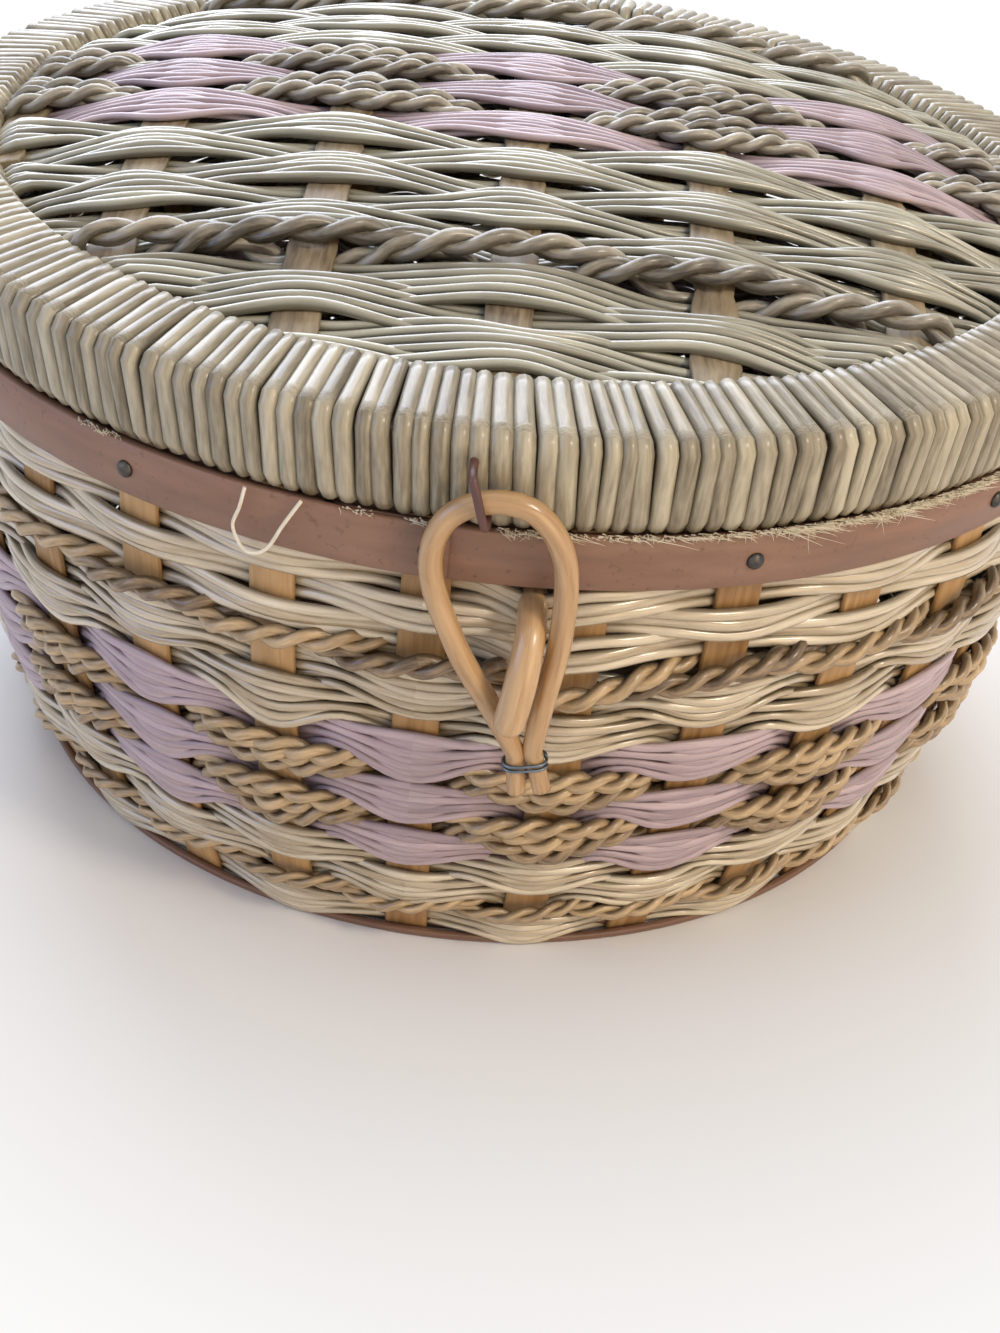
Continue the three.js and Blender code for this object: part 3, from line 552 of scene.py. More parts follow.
# Rim hoops
# Two flat bent hoops clamp the tops of the stakes. The ends of the outer one are shaved to half
# their thickness and lapped beside the latch, and its brown stain is worn and flecked.
RIM_HOOP_HEIGHT = 12 * MM
LAP_END = math.radians(-2.6)
LAP_LENGTH = math.radians(10)
LAP_SLOPE = 4
LAP_RAISE = 0.3 * MM
BAND_EASE = 0.3 * MM
BAND_STEPS = 260
FLECK = 1.6 * MM
FLECK_FROM, FLECK_TO, FLECK_DEPTH = 0.6, 0.75, 0.6
band_low = BODY_HEIGHT - RIM_HOOP_HEIGHT
inner_rim = hoop(band_low, BODY_HEIGHT, -hoop_inside - HOOP_THICK, -hoop_inside)
lay_piece("inner_rim_band", [inner_rim], hoop_wood, "basket", "hoop_wood", "inner_rim_hoop")
# Stained hoop wood, flecked: the stain has come off in spots, and dirt has stayed in others.
flecked_wood = grain_finish(
    "flecked_bent_wood", "#9a7560", "#775845",
    streak=50 * MM, lines=30, roughness=0.48, depth=0.12 * MM, spread=0.1,
)
tree = flecked_wood.node_tree
shader = tree.nodes["Principled BSDF"]
stain = shader.inputs["Base Color"].links[0].from_socket
spot = add_node(tree, "ShaderNodeTexCoord").outputs["Object"]
fleck = add_node(tree, "ShaderNodeTexNoise", {"Vector": spot, "Scale": 1 / FLECK, "Detail": 4.0}).outputs[0]
fleck = add_node(
    tree, "ShaderNodeMapRange", {0: fleck, 1: FLECK_FROM, 2: FLECK_TO, 3: 0.0, 4: FLECK_DEPTH}
).outputs[0]
tint = add_node(tree, "ShaderNodeMix", {0: fleck, 6: stain, 7: linear("#5f4334")}, data_type="RGBA")
tree.links.new(tint.outputs[2], shader.inputs["Base Color"])
azimuth = np.linspace(LAP_END - LAP_LENGTH, LAP_END + FULL_TURN, BAND_STEPS)[:, None]
first_lap = np.clip((LAP_END - azimuth) / LAP_LENGTH * LAP_SLOPE, 0, 1)
last_lap = np.clip((azimuth - LAP_END - FULL_TURN + LAP_LENGTH) / LAP_LENGTH * LAP_SLOPE, 0, 1)
inside = hoop_inside + last_lap * HOOP_THICK / 2
outside = hoop_inside + HOOP_THICK - first_lap * HOOP_THICK / 2 + last_lap * LAP_RAISE
edge = outside - BAND_EASE
offset = np.concatenate([inside, inside, edge, outside, outside, edge, inside, inside], 1)
z = np.array([band_low + BAND_EASE, band_low, band_low, band_low + BAND_EASE])
z = np.concatenate([z, BODY_HEIGHT + band_low - z[::-1]])
outer_rim = skin(wall(azimuth, z[None, :], offset))
lay_piece("outer_rim_band", [outer_rim], flecked_wood, "basket", "hoop_wood", "outer_rim_hoop")

# Nails
# Small round-headed steel nails, darkened with age, hold the rim hoops and the stakes together.
# One is driven through the outer hoop at every second stake.
NAIL_RADIUS = 1.9 * MM
NAIL_DOME = 1.3 * MM
NAIL_SIDES = 20
TARNISH = 1.2 * MM
OLD_METAL = 0.85


def metal_finish(name, pale, dark, roughness):
    """Old wire and nails: metal under patches of tarnish."""
    material, tree, shader = new_finish(name, roughness, OLD_METAL)
    spot = add_node(tree, "ShaderNodeTexCoord").outputs["Object"]
    patch = add_node(
        tree, "ShaderNodeTexNoise", {"Vector": spot, "Scale": 1 / TARNISH, "Detail": 3.0}
    ).outputs[0]
    tint = add_node(tree, "ShaderNodeMix", {0: patch, 6: linear(dark), 7: linear(pale)}, data_type="RGBA")
    tree.links.new(tint.outputs[2], shader.inputs["Base Color"])
    return material


# Blackened steel: nearly black, with a soft shine on the domes.
dark_steel = metal_finish("blackened_steel", "#625d58", "#2f2d2d", roughness=0.4)
nail_face = RIM_RADIUS + hoop_inside + HOOP_THICK
nail_z = BODY_HEIGHT - RIM_HOOP_HEIGHT / 2
dome_lift = np.array([-1.2, 0, 0.35, 0.7, 0.92, 1.0]) * NAIL_DOME
dome_reach = np.array([0.5, 1.0, 0.93, 0.7, 0.38, 0.06]) * NAIL_RADIUS
turn = np.linspace(0, FULL_TURN, NAIL_SIDES, endpoint=False)
up = np.array([0, 0, 1])
for i in range(STAKE_COUNT // 2):
    out, side = directions(FIRST_STAKE + 2 * i * STAKE_STEP)
    centre = out * nail_face + up * nail_z
    disc = np.cos(turn)[:, None] * side + np.sin(turn)[:, None] * up
    rings = centre + dome_lift[:, None, None] * out + dome_reach[:, None, None] * disc[None]
    lay_piece(f"nail_{i + 1:02d}", [skin(rings)], dark_steel, "basket", "nail", f"rim_nail_{i + 1:02d}")

# Latch hook
# A short length of whole cane, heated and bent, goes through the wall under the rim hoop and turns down.
# Its tip is rounded and its skin is left on, so it is glossy.
HOOK_RADIUS = 3 * MM
HOOK_AZIMUTH = math.radians(3)
HOOK_BELOW = 2 * MM
HOOK_LEAN = 3.2 * MM
HOOK_TAIL = 9 * MM
HOOK_REACH = 14.9 * MM
HOOK_DROP = 22.3 * MM
HOOK_SWELL, SWELL_BY = 0.1, 0.4
BLUNT_TIP = 0.004
CANE_SIDES = 20
# Whole cane with its skin: golden, hard and glossy, with faint long streaks.
cane = grain_finish(
    "whole_cane", "#d8b587", "#a1794c",
    streak=40 * MM, lines=10, roughness=0.3, depth=0.05 * MM, spread=0.5, coat=0.4,
)


def smooth_path(points, steps):
    """A rounded path through a few points."""
    points = np.array(points, float)
    ends = np.concatenate([[2 * points[0] - points[1]], points, [2 * points[-1] - points[-2]]])
    t = np.linspace(0, 1, steps, endpoint=False)[:, None]
    spans = []
    for a, b, c, d in zip(ends, ends[1:], ends[2:], ends[3:]):
        square = (2 * a - 5 * b + 4 * c - d) * t**2
        cube = (3 * b - a - 3 * c + d) * t**3
        spans.append(0.5 * (2 * b + (c - a) * t + square + cube))
    return np.concatenate(spans + [points[-1:]])


def rounded_end(path, radius, length):
    """A radius along a path that closes in a dome at its end."""
    step = np.linalg.norm(np.diff(path, axis=0), axis=1)
    left = np.concatenate([np.cumsum(step[::-1])[::-1], [0]])
    return radius * np.sqrt(np.clip(1 - np.clip(1 - left / length, 0, 1) ** 2, BLUNT_TIP, 1))


hook_z = BODY_HEIGHT - RIM_HOOP_HEIGHT - HOOK_RADIUS - HOOK_BELOW
hook_shape = [(-HOOK_TAIL, 0), (0.25 * HOOK_REACH, 0), (0.72 * HOOK_REACH, -0.14 * HOOK_DROP)]
hook_shape += [(HOOK_REACH, -0.52 * HOOK_DROP), (HOOK_REACH, -HOOK_DROP)]
hook_out, hook_side = directions(HOOK_AZIMUTH)
hook_points = []
for out, z in hook_shape:
    aside = HOOK_LEAN * (1 + z / HOOK_DROP)
    hook_points.append(hook_out * (RIM_RADIUS + out) + (aside, 0, hook_z + z))
hook_path = smooth_path(hook_points, steps=12)
hook_normal = np.broadcast_to(hook_side, hook_path.shape)
hook_radius = rounded_end(hook_path, HOOK_RADIUS, HOOK_RADIUS)
hook_radius *= 1 + HOOK_SWELL * np.clip((hook_z - hook_path[:, 2]) / (SWELL_BY * HOOK_DROP), 0, 1)
hook_skin = strand(hook_path, hook_normal, hook_radius, sides=CANE_SIDES, tone=0.7)
lay_piece("hook_cane", [hook_skin], cane, "basket", "cane", "latch_hook")

# Lid rim
# A thick wooden hoop, wrapped all round with one long pale reed, turn beside turn.
# The wrapping is tight over the outer ridge, and each turn is a little wider or narrower than the next.
rim_low, rim_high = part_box("lid_rim_wrap")
LID_RADIUS = 150 * MM
LID_INNER = 127.5 * MM
RIM_TAPER = 3 * MM
RIM_CROWN = 1.2 * MM
INNER_LEAN = 0.5 * MM
INNER_RISE = 2.2 * MM
CORNER_BENDS = [1.5 * MM, 3 * MM, 3 * MM, 2 * MM]
CORNER_STEPS = 7
WRAP_TURNS = 240
WRAP_STEPS = 30
WRAP_SIDES = 12
WRAP_INSET = 1.3 * MM
WRAP_THICK = 1.8 * MM
WRAP_COVER = 0.55
WRAP_PLAY = (0.82, 1.18)
WRAP_SLANT = 0.0028
WRAP_LIFT = 0.12 * MM
HINGE_X = 30 * MM
HINGE_SLIT_RADIUS = 148 * MM
HINGE_SLIT = 0.6
# Sawn ash, hidden under the wrapping: brown and plain.
core_wood = sawn_finish("sawn_ash_core", "#7d6147", "#5a4431", streak=40 * MM, width=3 * MM)
finish_node("lid_rim_core", core_wood)
# Pale reed wrapping: straw coloured, glossy on the ridge, each turn with its own tone.
# The sides and back of each turn are darkened with painted shade between the turns.
wrap_reed = grain_finish(
    "pale_wrapping_reed", "#c4baa0", "#70644d",
    streak=18 * MM, lines=15, roughness=0.42, depth=0.25 * MM, coat=0.25, crevice_shade=0.6,
)
corners = np.array([
    (LID_RADIUS, rim_high.z - RIM_CROWN),
    (LID_RADIUS - RIM_TAPER, rim_low.z),
    (LID_INNER, rim_low.z),
    (LID_INNER - INNER_LEAN, rim_high.z + INNER_RISE),
])
centre = corners.mean(0)
corners = centre + (corners - centre) * (1 - 2 * WRAP_INSET / (LID_RADIUS - LID_INNER))
outline = []
t = np.linspace(0, 1, CORNER_STEPS)[:, None]
befores, afters = np.roll(corners, 1, 0), np.roll(corners, -1, 0)
for before, corner, after, bend in zip(befores, corners, afters, CORNER_BENDS):
    start = corner + bend * (before - corner) / np.linalg.norm(before - corner)
    end = corner + bend * (after - corner) / np.linalg.norm(after - corner)
    outline.append((1 - t) ** 2 * start + 2 * t * (1 - t) * corner + t**2 * end)
outline = np.concatenate(outline + [outline[0][:1]])
outline_length = np.concatenate([[0], np.cumsum(np.linalg.norm(np.diff(outline, axis=0), axis=1))])
pitches = chance.uniform(*WRAP_PLAY, WRAP_TURNS)
turn_places = np.concatenate([[0], np.cumsum(pitches)]) / pitches.sum() * FULL_TURN
hinge_turn = math.asin(HINGE_X / HINGE_SLIT_RADIUS)
for hinge in (hinge_turn, FULL_TURN - hinge_turn):
    beside = np.argmin(np.abs(turn_places - hinge))
    turn_places[beside] = hinge - HINGE_SLIT * FULL_TURN / WRAP_TURNS
turn_starts = np.arange(WRAP_TURNS + 1)
t = np.arange(WRAP_TURNS * WRAP_STEPS + 1) / WRAP_STEPS
around = (t % 1) * outline_length[-1]
radius = np.interp(around, outline_length, outline[:, 0])
height = np.interp(around, outline_length, outline[:, 1])
slant = np.interp(t, turn_starts, chance.normal(0, WRAP_SLANT, WRAP_TURNS + 1))
azimuth = math.pi + np.interp(t, turn_starts, turn_places) + slant * np.cos(FULL_TURN * t)
path = np.stack([radius * np.sin(azimuth), -radius * np.cos(azimuth), height], -1)
hub_radius = (LID_RADIUS + LID_INNER) / 2
hub_height = np.full_like(t, centre[1])
hub = np.stack([hub_radius * np.sin(azimuth), -hub_radius * np.cos(azimuth), hub_height], -1)
turn_width = np.interp(t, turn_starts[:-1] + 0.5, pitches) * radius * FULL_TURN / WRAP_TURNS
turn_tone = np.repeat(chance.uniform(0, 1, WRAP_TURNS + 1), WRAP_STEPS)[: len(t)]
sideways, outward = frames(path, path - hub, False)
turn_lift = np.interp(t, turn_starts, chance.normal(0, WRAP_LIFT, WRAP_TURNS + 1))
path = path + outward * turn_lift[:, None]
spin = (np.arange(WRAP_SIDES) / WRAP_SIDES * FULL_TURN)[None, :, None]
ring = np.cos(spin) * sideways[:, None] * (WRAP_COVER * turn_width)[:, None, None]
ring = ring + np.sin(spin) * outward[:, None] * WRAP_THICK
wrapping = skin(path[:, None] + ring, tone=turn_tone)
lay_piece("rim_wrapping", [wrapping], wrap_reed, "lid", "rim_wrap_reed", "lid_rim_wrap")

# Lid stakes
# Flat splints run from front to back over the dome, with their ends tucked in behind the wrapping.
# They are paler than the stakes of the body, and their edges were left rough.
PANEL_RADIUS = 132 * MM
PANEL_LEVEL = rim_low.z + 18.5 * MM
DOME_RISE = 14.1 * MM
LID_PITCH = 42.5 * MM
SIDE_STAKE = 120.5 * MM
LID_STAKE_RINGS = 61
ROUGH_EDGE = 0.05
# Shaved ash splint, weathered: pale and matt, with dark uneven streaks.
pale_splint = grain_finish(
    "pale_ash_splint", "#bdab8c", "#5f4d36",
    streak=25 * MM, lines=60, roughness=0.6, depth=0.4 * MM, spread=0.2,
)


def panel(x, y, offset):
    """Points on the domed panel of the lid, offset upwards."""
    z = PANEL_LEVEL + DOME_RISE * (1 - (np.hypot(x, y) / PANEL_RADIUS) ** 3) + offset
    return np.stack(np.broadcast_arrays(x, y, z), -1)


for i, x in enumerate((-SIDE_STAKE, -2 * LID_PITCH, -LID_PITCH, 0, LID_PITCH, 2 * LID_PITCH, SIDE_STAKE)):
    end = math.sqrt(PANEL_RADIUS**2 - (abs(x) + half_width) ** 2)
    y = np.linspace(-end, end, LID_STAKE_RINGS)[:, None]
    widths = across[None, :] * (1 + chance.normal(0, ROUGH_EDGE, (LID_STAKE_RINGS, 1)))
    splint = skin(panel(x + widths, y, through[None, :]), tone=chance.uniform())
    lay_piece(f"lid_splint_{i + 1}", [splint], pale_splint, "lid", "lid_splint", f"lid_stake_{i + 1}")

# Lid weave
# Bundles of strands cross the lid from side to side, over one stake and under the next.
# Reed lies at the front and back with a twine of seagrass in it, and pink reed and seagrass in the middle.
LID_STEP, LID_ROPE_STEP = 2.4 * MM, 1.4 * MM
LID_WAVER = 0.4 * math.pi
LID_WAVER_STEPS = 200
LID_STRAND_WAVER = 0.18 * MM
LID_PLAY = (0.9, 1.08)
LID_PULL = 0.8
LID_GAP = 0.3 * MM
LID_DRAW = 0.2
UNDER_SPREAD, REED_UNDER_SPREAD = 1.36, 1.15
END_ROOM = 1 * MM
END_LENGTH = 10 * MM
END_SINK = 2 * MM
LID_REED_RADIUS = 1.36 * MM
LID_REED_SPREAD = 1.22
LID_REED_ROWS = 5
LID_REED_COUNT, LID_PINK_COUNT, LID_ROPE_COUNT = 6, 9, 4
LID_ROPE_RADIUS = 2.45 * MM
LID_ROPE_LAY = 17 * MM
BAND_COUNT = 5
BAND_PITCH = 11.5 * MM
BAND_BACK = 6.5 * MM
LID_PINK_SPREAD, LID_ROPE_SPREAD = 19 * MM, 18 * MM
TWINE_OUT = 81.75 * MM
TWINE_PITCH = 8 * MM
TWINE_RADIUS = 3 * MM
TWINE_LAY = 21 * MM
LID_TWINE_CROSS = 0.35
EDGE_REED_RADIUS = 1.4 * MM
EDGE_COUNTS = (5, 5, 6, 4)
EDGE_PLACES = (7 * MM, 14.5 * MM, 27.5 * MM, 33.5 * MM)
EDGE_PITCH, EDGE_SPREAD = 2.8 * MM, 2.4 * MM
# Reed of the lid: the same reed as the body's, in a greyer, cooler colour that paints in the cool sky light
# on the lid, with a glossy skin and painted shade on its sides between the strands.
lid_reed = grain_finish(
    "sky_tinted_lid_reed", "#c4c0aa", "#857e69",
    streak=30 * MM, lines=9, roughness=0.32, depth=0.12 * MM, coat=0.5, crevice_shade=0.6,
)
# Seagrass of the lid: the body's seagrass in a grey brown that paints in the cool sky light on the lid, with
# lines drawn as coarse as on the body's and painted shade on its sides between the ropes.
sky_tinted_seagrass = grain_finish(
    "sky_tinted_seagrass", "#c8bfab", "#524838",
    streak=10 * MM, lines=11, roughness=0.42, depth=0.4 * MM, spread=0.7, coat=0.35, crevice_shade=0.6,
)


def lid_row(y, height, spread, count, radius, row, step=LID_STEP, under_spread=UNDER_SPREAD):
    """Paths of one row from left to right; it lies over stake number k where k + row is even."""
    lift = LID_PULL * (half_thick + radius + LID_GAP) / math.cos(math.pi * half_width / LID_PITCH)
    row_turn = np.linspace(-LID_WAVER, LID_WAVER, LID_WAVER_STEPS)
    row_shift = wander(row_turn, ROW_WAVER)
    row_slack = wander(row_turn, FAN_WAVER)
    narrow = strand_pitch(height, count, radius)
    for i in range(count):
        place = i - (count - 1) / 2
        reach = math.sqrt((PANEL_RADIUS - END_ROOM) ** 2 - (y + place * narrow) ** 2)
        x = np.linspace(-reach, reach, round(2 * reach / step))
        inner = np.clip(x, -2 * LID_PITCH, 2 * LID_PITCH)
        phase = inner / LID_PITCH + (x - inner) / (SIDE_STAKE - 2 * LID_PITCH) + row
        swing = np.cos(math.pi * phase)
        between = np.sin(math.pi * phase) ** 2
        turn = x / PANEL_RADIUS * LID_WAVER
        fan = spread * (1 + (under_spread - 1) * (1 - swing) / 2)
        fan *= 1 + np.interp(turn, row_turn, row_slack)
        wide = strand_pitch(fan, count, radius)
        aside = y + place * (wide * (1 - between) + narrow * between) + wander(turn, LID_STRAND_WAVER)
        aside += np.interp(turn, row_turn, row_shift)
        heap, crown = bundle_shape(i, count, radius, narrow, between)
        offset = swing * lift + heap + wander(turn, STRAND_WAVER)
        offset += crown * np.sign(swing)
        held = np.clip((reach - np.abs(x)) / END_LENGTH, 0, 1)
        held = held * held * (3 - 2 * held)
        offset = offset * held - END_SINK * (1 - held)
        drawn = 1 - LID_DRAW * between * (count > LOOSE_COUNT)
        yield panel(x, aside, offset), np.broadcast_to((0, 0, 1.0), (len(x), 3)), radius * drawn


for i in range(BAND_COUNT):
    y = (i - BAND_COUNT // 2) * BAND_PITCH + BAND_BACK
    number = i // 2 + 1
    skins = []
    if i % 2 == 0:
        row = lid_row(y, BAND_PITCH, LID_PINK_SPREAD, LID_PINK_COUNT, PINK_RADIUS, i, under_spread=1)
        for path, normal, thick in row:
            skins.append(strand(path, normal, thick * chance.uniform(*BODY_PLAY), flat=PINK_FLAT))
        name, node = f"lid_pink_strands_{number}", f"lid_pink_row_{number}"
        lay_piece(name, skins, pink_reed, "lid", "pink_reed", node)
    else:
        row = lid_row(
            y, BAND_PITCH, LID_ROPE_SPREAD, LID_ROPE_COUNT, LID_ROPE_RADIUS, i, LID_ROPE_STEP, under_spread=1
        )
        for path, normal, _ in row:
            skins.extend(rope(path, normal, LID_ROPE_RADIUS, LID_ROPE_LAY))
        name, node = f"lid_seagrass_ropes_{number}", f"lid_seagrass_row_{number}"
        lay_piece(name, skins, sky_tinted_seagrass, "lid", "seagrass", node)

for end, sign in (("front", -1), ("back", 1)):
    out = BAND_COUNT / 2 * BAND_PITCH + sign * BAND_BACK
    pitch = (TWINE_OUT - out) / LID_REED_ROWS
    skins = []
    for i in range(1, LID_REED_ROWS + 1):
        y = sign * (out + pitch / 2)
        spread = LID_REED_SPREAD * pitch
        row = lid_row(y, pitch, spread, LID_REED_COUNT, LID_REED_RADIUS, i, under_spread=REED_UNDER_SPREAD)
        for path, normal, thick in row:
            skins.append(strand(path, normal, thick * chance.uniform(*LID_PLAY)))
        out += pitch
    lay_piece(f"lid_{end}_reeds", skins, lid_reed, "lid", "reed", f"lid_{end}_reed_rows")
    skins = []
    y = sign * (out + TWINE_PITCH / 2)
    for i in (0, 1):
        for path, normal, _ in lid_row(y, TWINE_PITCH, TWINE_PITCH, 1, TWINE_RADIUS, i, LID_ROPE_STEP):
            crossing = np.sin(math.pi * path[:, 0] / LID_PITCH)
            path[:, 1] += (1 - 2 * i) * LID_TWINE_CROSS * TWINE_RADIUS * crossing
            skins.extend(rope(path, normal, TWINE_RADIUS, TWINE_LAY))
    lay_piece(f"lid_{end}_twine_ropes", skins, sky_tinted_seagrass, "lid", "seagrass", f"lid_{end}_twine")
    out += TWINE_PITCH
    skins = []
    for i, (count, place) in enumerate(zip(EDGE_COUNTS, EDGE_PLACES)):
        y = sign * (out + place)
        row = lid_row(y, EDGE_PITCH * count, EDGE_SPREAD * count, count, EDGE_REED_RADIUS, i)
        for path, normal, thick in row:
            skins.append(strand(path, normal, thick * chance.uniform(*LID_PLAY)))
    lay_piece(f"lid_{end}_edges", skins, lid_reed, "lid", "reed", f"lid_{end}_edge_rows")

# Hinges
# Two rings of blackened steel wire go through the lid rim and the outer rim hoop at the back.
# Each is bent round and closed by hand, and passes between two turns of the wrapping.
HINGE_RADIUS = 9 * MM
HINGE_WIRE = 0.8 * MM
HINGE_STEPS = 64
WIRE_SIDES = 12
hinge_low, hinge_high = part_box("hinge_ring_left")
hinge_y, hinge_z = (hinge_low.y + hinge_high.y) / 2, (hinge_low.z + hinge_high.z) / 2
turn = np.linspace(0, FULL_TURN, HINGE_STEPS, endpoint=False)
spokes = HINGE_RADIUS * np.stack([np.zeros(HINGE_STEPS), np.cos(turn), np.sin(turn)], -1)
for side, x in (("left", -HINGE_X), ("right", HINGE_X)):
    wire = strand(spokes + (x, hinge_y, hinge_z), spokes, HINGE_WIRE, closed=True, sides=WIRE_SIDES)
    lay_piece(f"hinge_wire_{side}", [wire], dark_steel, "basket", "hinge_wire", f"hinge_ring_{side}")

# Latch loop
# One length of whole cane is bent into a teardrop and hung in the staple. Its two ends are cut square
# and bound together with thin wire.
CANE_RADIUS = 2.4 * MM
LOOP_LENGTH = 57 * MM
LOOP_HALF_WIDTH = 13 * MM
LOOP_TAIL = 11 * MM
LOOP_TILT = math.radians(12.4)
TIE_BELOW = 3.6 * MM
TAIL_TAPER, TAPER_FROM, TAPER_OVER = 0.82, 0.08, 0.15
TAIL_GAP = 0.1 * MM
TAIL_SPLAY = 0.6 * MM
TAIL_OFFSET = TAIL_TAPER * CANE_RADIUS + TAIL_GAP
joint = next(j for j in frame["joints"] if j["name"] == "latch_swing")
pivot = np.array(joint["pos_m"])
lean_right = np.array([math.cos(LOOP_TILT), 0, math.sin(LOOP_TILT)])
lean_down = np.array([math.sin(LOOP_TILT), 0, -math.cos(LOOP_TILT)])
arm = [(0.68, 0.06), (1, 0.25), (0.8, 0.55), (0.45, 0.79)]
arm = [(side * LOOP_HALF_WIDTH, down * LOOP_LENGTH) for side, down in arm]
arm += [(TAIL_OFFSET, LOOP_LENGTH), (TAIL_OFFSET, LOOP_LENGTH + TIE_BELOW)]
arm += [(TAIL_OFFSET + TAIL_SPLAY, LOOP_LENGTH + LOOP_TAIL)]
loop_shape = [(-side, down) for side, down in arm[::-1]] + [(0, 0)] + arm
loop_points = [pivot + side * lean_right + down * lean_down for side, down in loop_shape]
loop_path = smooth_path(loop_points, steps=10)
loop_normal = np.broadcast_to((0, -1.0, 0), loop_path.shape)
loop_steps = np.arange(len(loop_path))
from_end = np.minimum(loop_steps, loop_steps[::-1]) / len(loop_path)
full_cane = np.clip((from_end - TAPER_FROM) / TAPER_OVER, 0, 1)
loop_radius = CANE_RADIUS * (TAIL_TAPER + (1 - TAIL_TAPER) * full_cane)
loop_skin = strand(loop_path, loop_normal, loop_radius, sides=CANE_SIDES, tone=0.3)
lay_piece("loop_cane", [loop_skin], cane, "latch_loop", "cane", "latch_loop")

# Latch tie
# Two turns of thin blue-grey steel wire bind the ends of the loop.
# They are drawn tight round both ends, one turn below the other.
TIE_RADIUS = 0.34 * MM
TIE_TURNS = 2
TIE_PITCH = 1.1 * MM
TIE_STEPS = 97
TIE_SQUARE = 3
# Blue-grey steel wire: brighter than the nails where the turns bend.
blue_steel = metal_finish("blue_grey_steel", "#8a949c", "#46525c", roughness=0.35)
tie_turn = np.linspace(0, TIE_TURNS * FULL_TURN, TIE_STEPS)
tie_reach = TAIL_OFFSET + TIE_RADIUS
tie_side = tie_reach * np.cos(tie_turn) + TAIL_OFFSET * np.clip(TIE_SQUARE * np.cos(tie_turn), -1, 1)
tie_down = LOOP_LENGTH + TIE_BELOW + (tie_turn / FULL_TURN - 1) * TIE_PITCH
tie_path = pivot + tie_side[:, None] * lean_right + tie_down[:, None] * lean_down
tie_path[:, 1] += tie_reach * np.sin(tie_turn)
tie_normal = np.broadcast_to(lean_down, tie_path.shape)
tie_wire = strand(tie_path, tie_normal, TIE_RADIUS)
lay_piece("tie_turns", [tie_wire], blue_steel, "latch_loop", "tie_wire", "latch_tie")

# Latch staple
# A U of dark coated wire is driven into the wrapped rim and carries the loop.
# It is bent from one piece, and its upper leg stands a little to the left of the lower one.
STAPLE_RADIUS = 0.9 * MM
STAPLE_LEAN = 3.4 * MM
staple_low, staple_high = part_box("latch_staple")
low_leg, high_leg = staple_low.z + STAPLE_RADIUS, staple_high.z - STAPLE_RADIUS
staple_front = staple_low.y + STAPLE_RADIUS
bend = 2 * STAPLE_RADIUS
staple_shape = [
    (-STAPLE_LEAN, staple_high.y, high_leg),
    (-STAPLE_LEAN, staple_front + bend, high_leg),
    (-0.8 * STAPLE_LEAN, staple_front, high_leg - bend),
    (-0.2 * STAPLE_LEAN, staple_front, low_leg + bend),
    (0, staple_front + bend, low_leg),
    (0, staple_high.y, low_leg),
]
staple_path = smooth_path(staple_shape, steps=10)
staple_normal = np.broadcast_to((1.0, 0, 0), staple_path.shape)
# Iron wire with a reddish brown coat of lacquer: dark, smooth and half glossy.
coated_wire = grain_finish(
    "brown_coated_wire", "#6b4640", "#3f2624",
    streak=12 * MM, lines=4, roughness=0.45, depth=0.05 * MM, spread=0.2,
)
staple_wire = strand(staple_path, staple_normal, STAPLE_RADIUS, sides=WIRE_SIDES)
lay_piece("staple_wire", [staple_wire], coated_wire, "lid", "staple_wire", "latch_staple")

# Loose ends
# Short broken ends of straw stick out where the wrapping was drawn through under the rim, most of
# them at the right of the front, and one long cream sliver hangs out in a loop at the left.
FRAY_RADIUS = 147.2 * MM
FRAY_THICK = 0.14 * MM
FRAY_START, FRAY_END, FRAY_STEP = 4, 72, 1.6
FULL_START, FULL_END = 24, 70
LEFT_START, LEFT_TUFTS = -12, 3
ROUND_END, ROUND_TUFTS = 330, 24
FULL_TUFT, THIN_TUFT = (0.7, 1.25), (0.4, 0.7)
TUFT_PLAY = 0.5
TUFT_FIBRES = 50
TUFT_WIDTH = 0.012
ROOT_OUT, ROOT_UP = (-1 * MM, 0.8 * MM), (-0.3 * MM, 0.5 * MM)
FIBRE_LENGTH = 0.65 * MM
FIBRE_DROOP = (1.2, 0.2)
FIBRE_OUT, FIBRE_SIDE, FIBRE_DOWN = (0.1, 0.5), (0.6, 0.6), (-0.1, 0.2)
FIBRE_CURL = 0.3
SLIVER_RADIUS = 148.8 * MM
SLIVER_THICK = 0.4 * MM
SLIVER_FLAT = 0.7
SLIVER_BULGE = 0.12
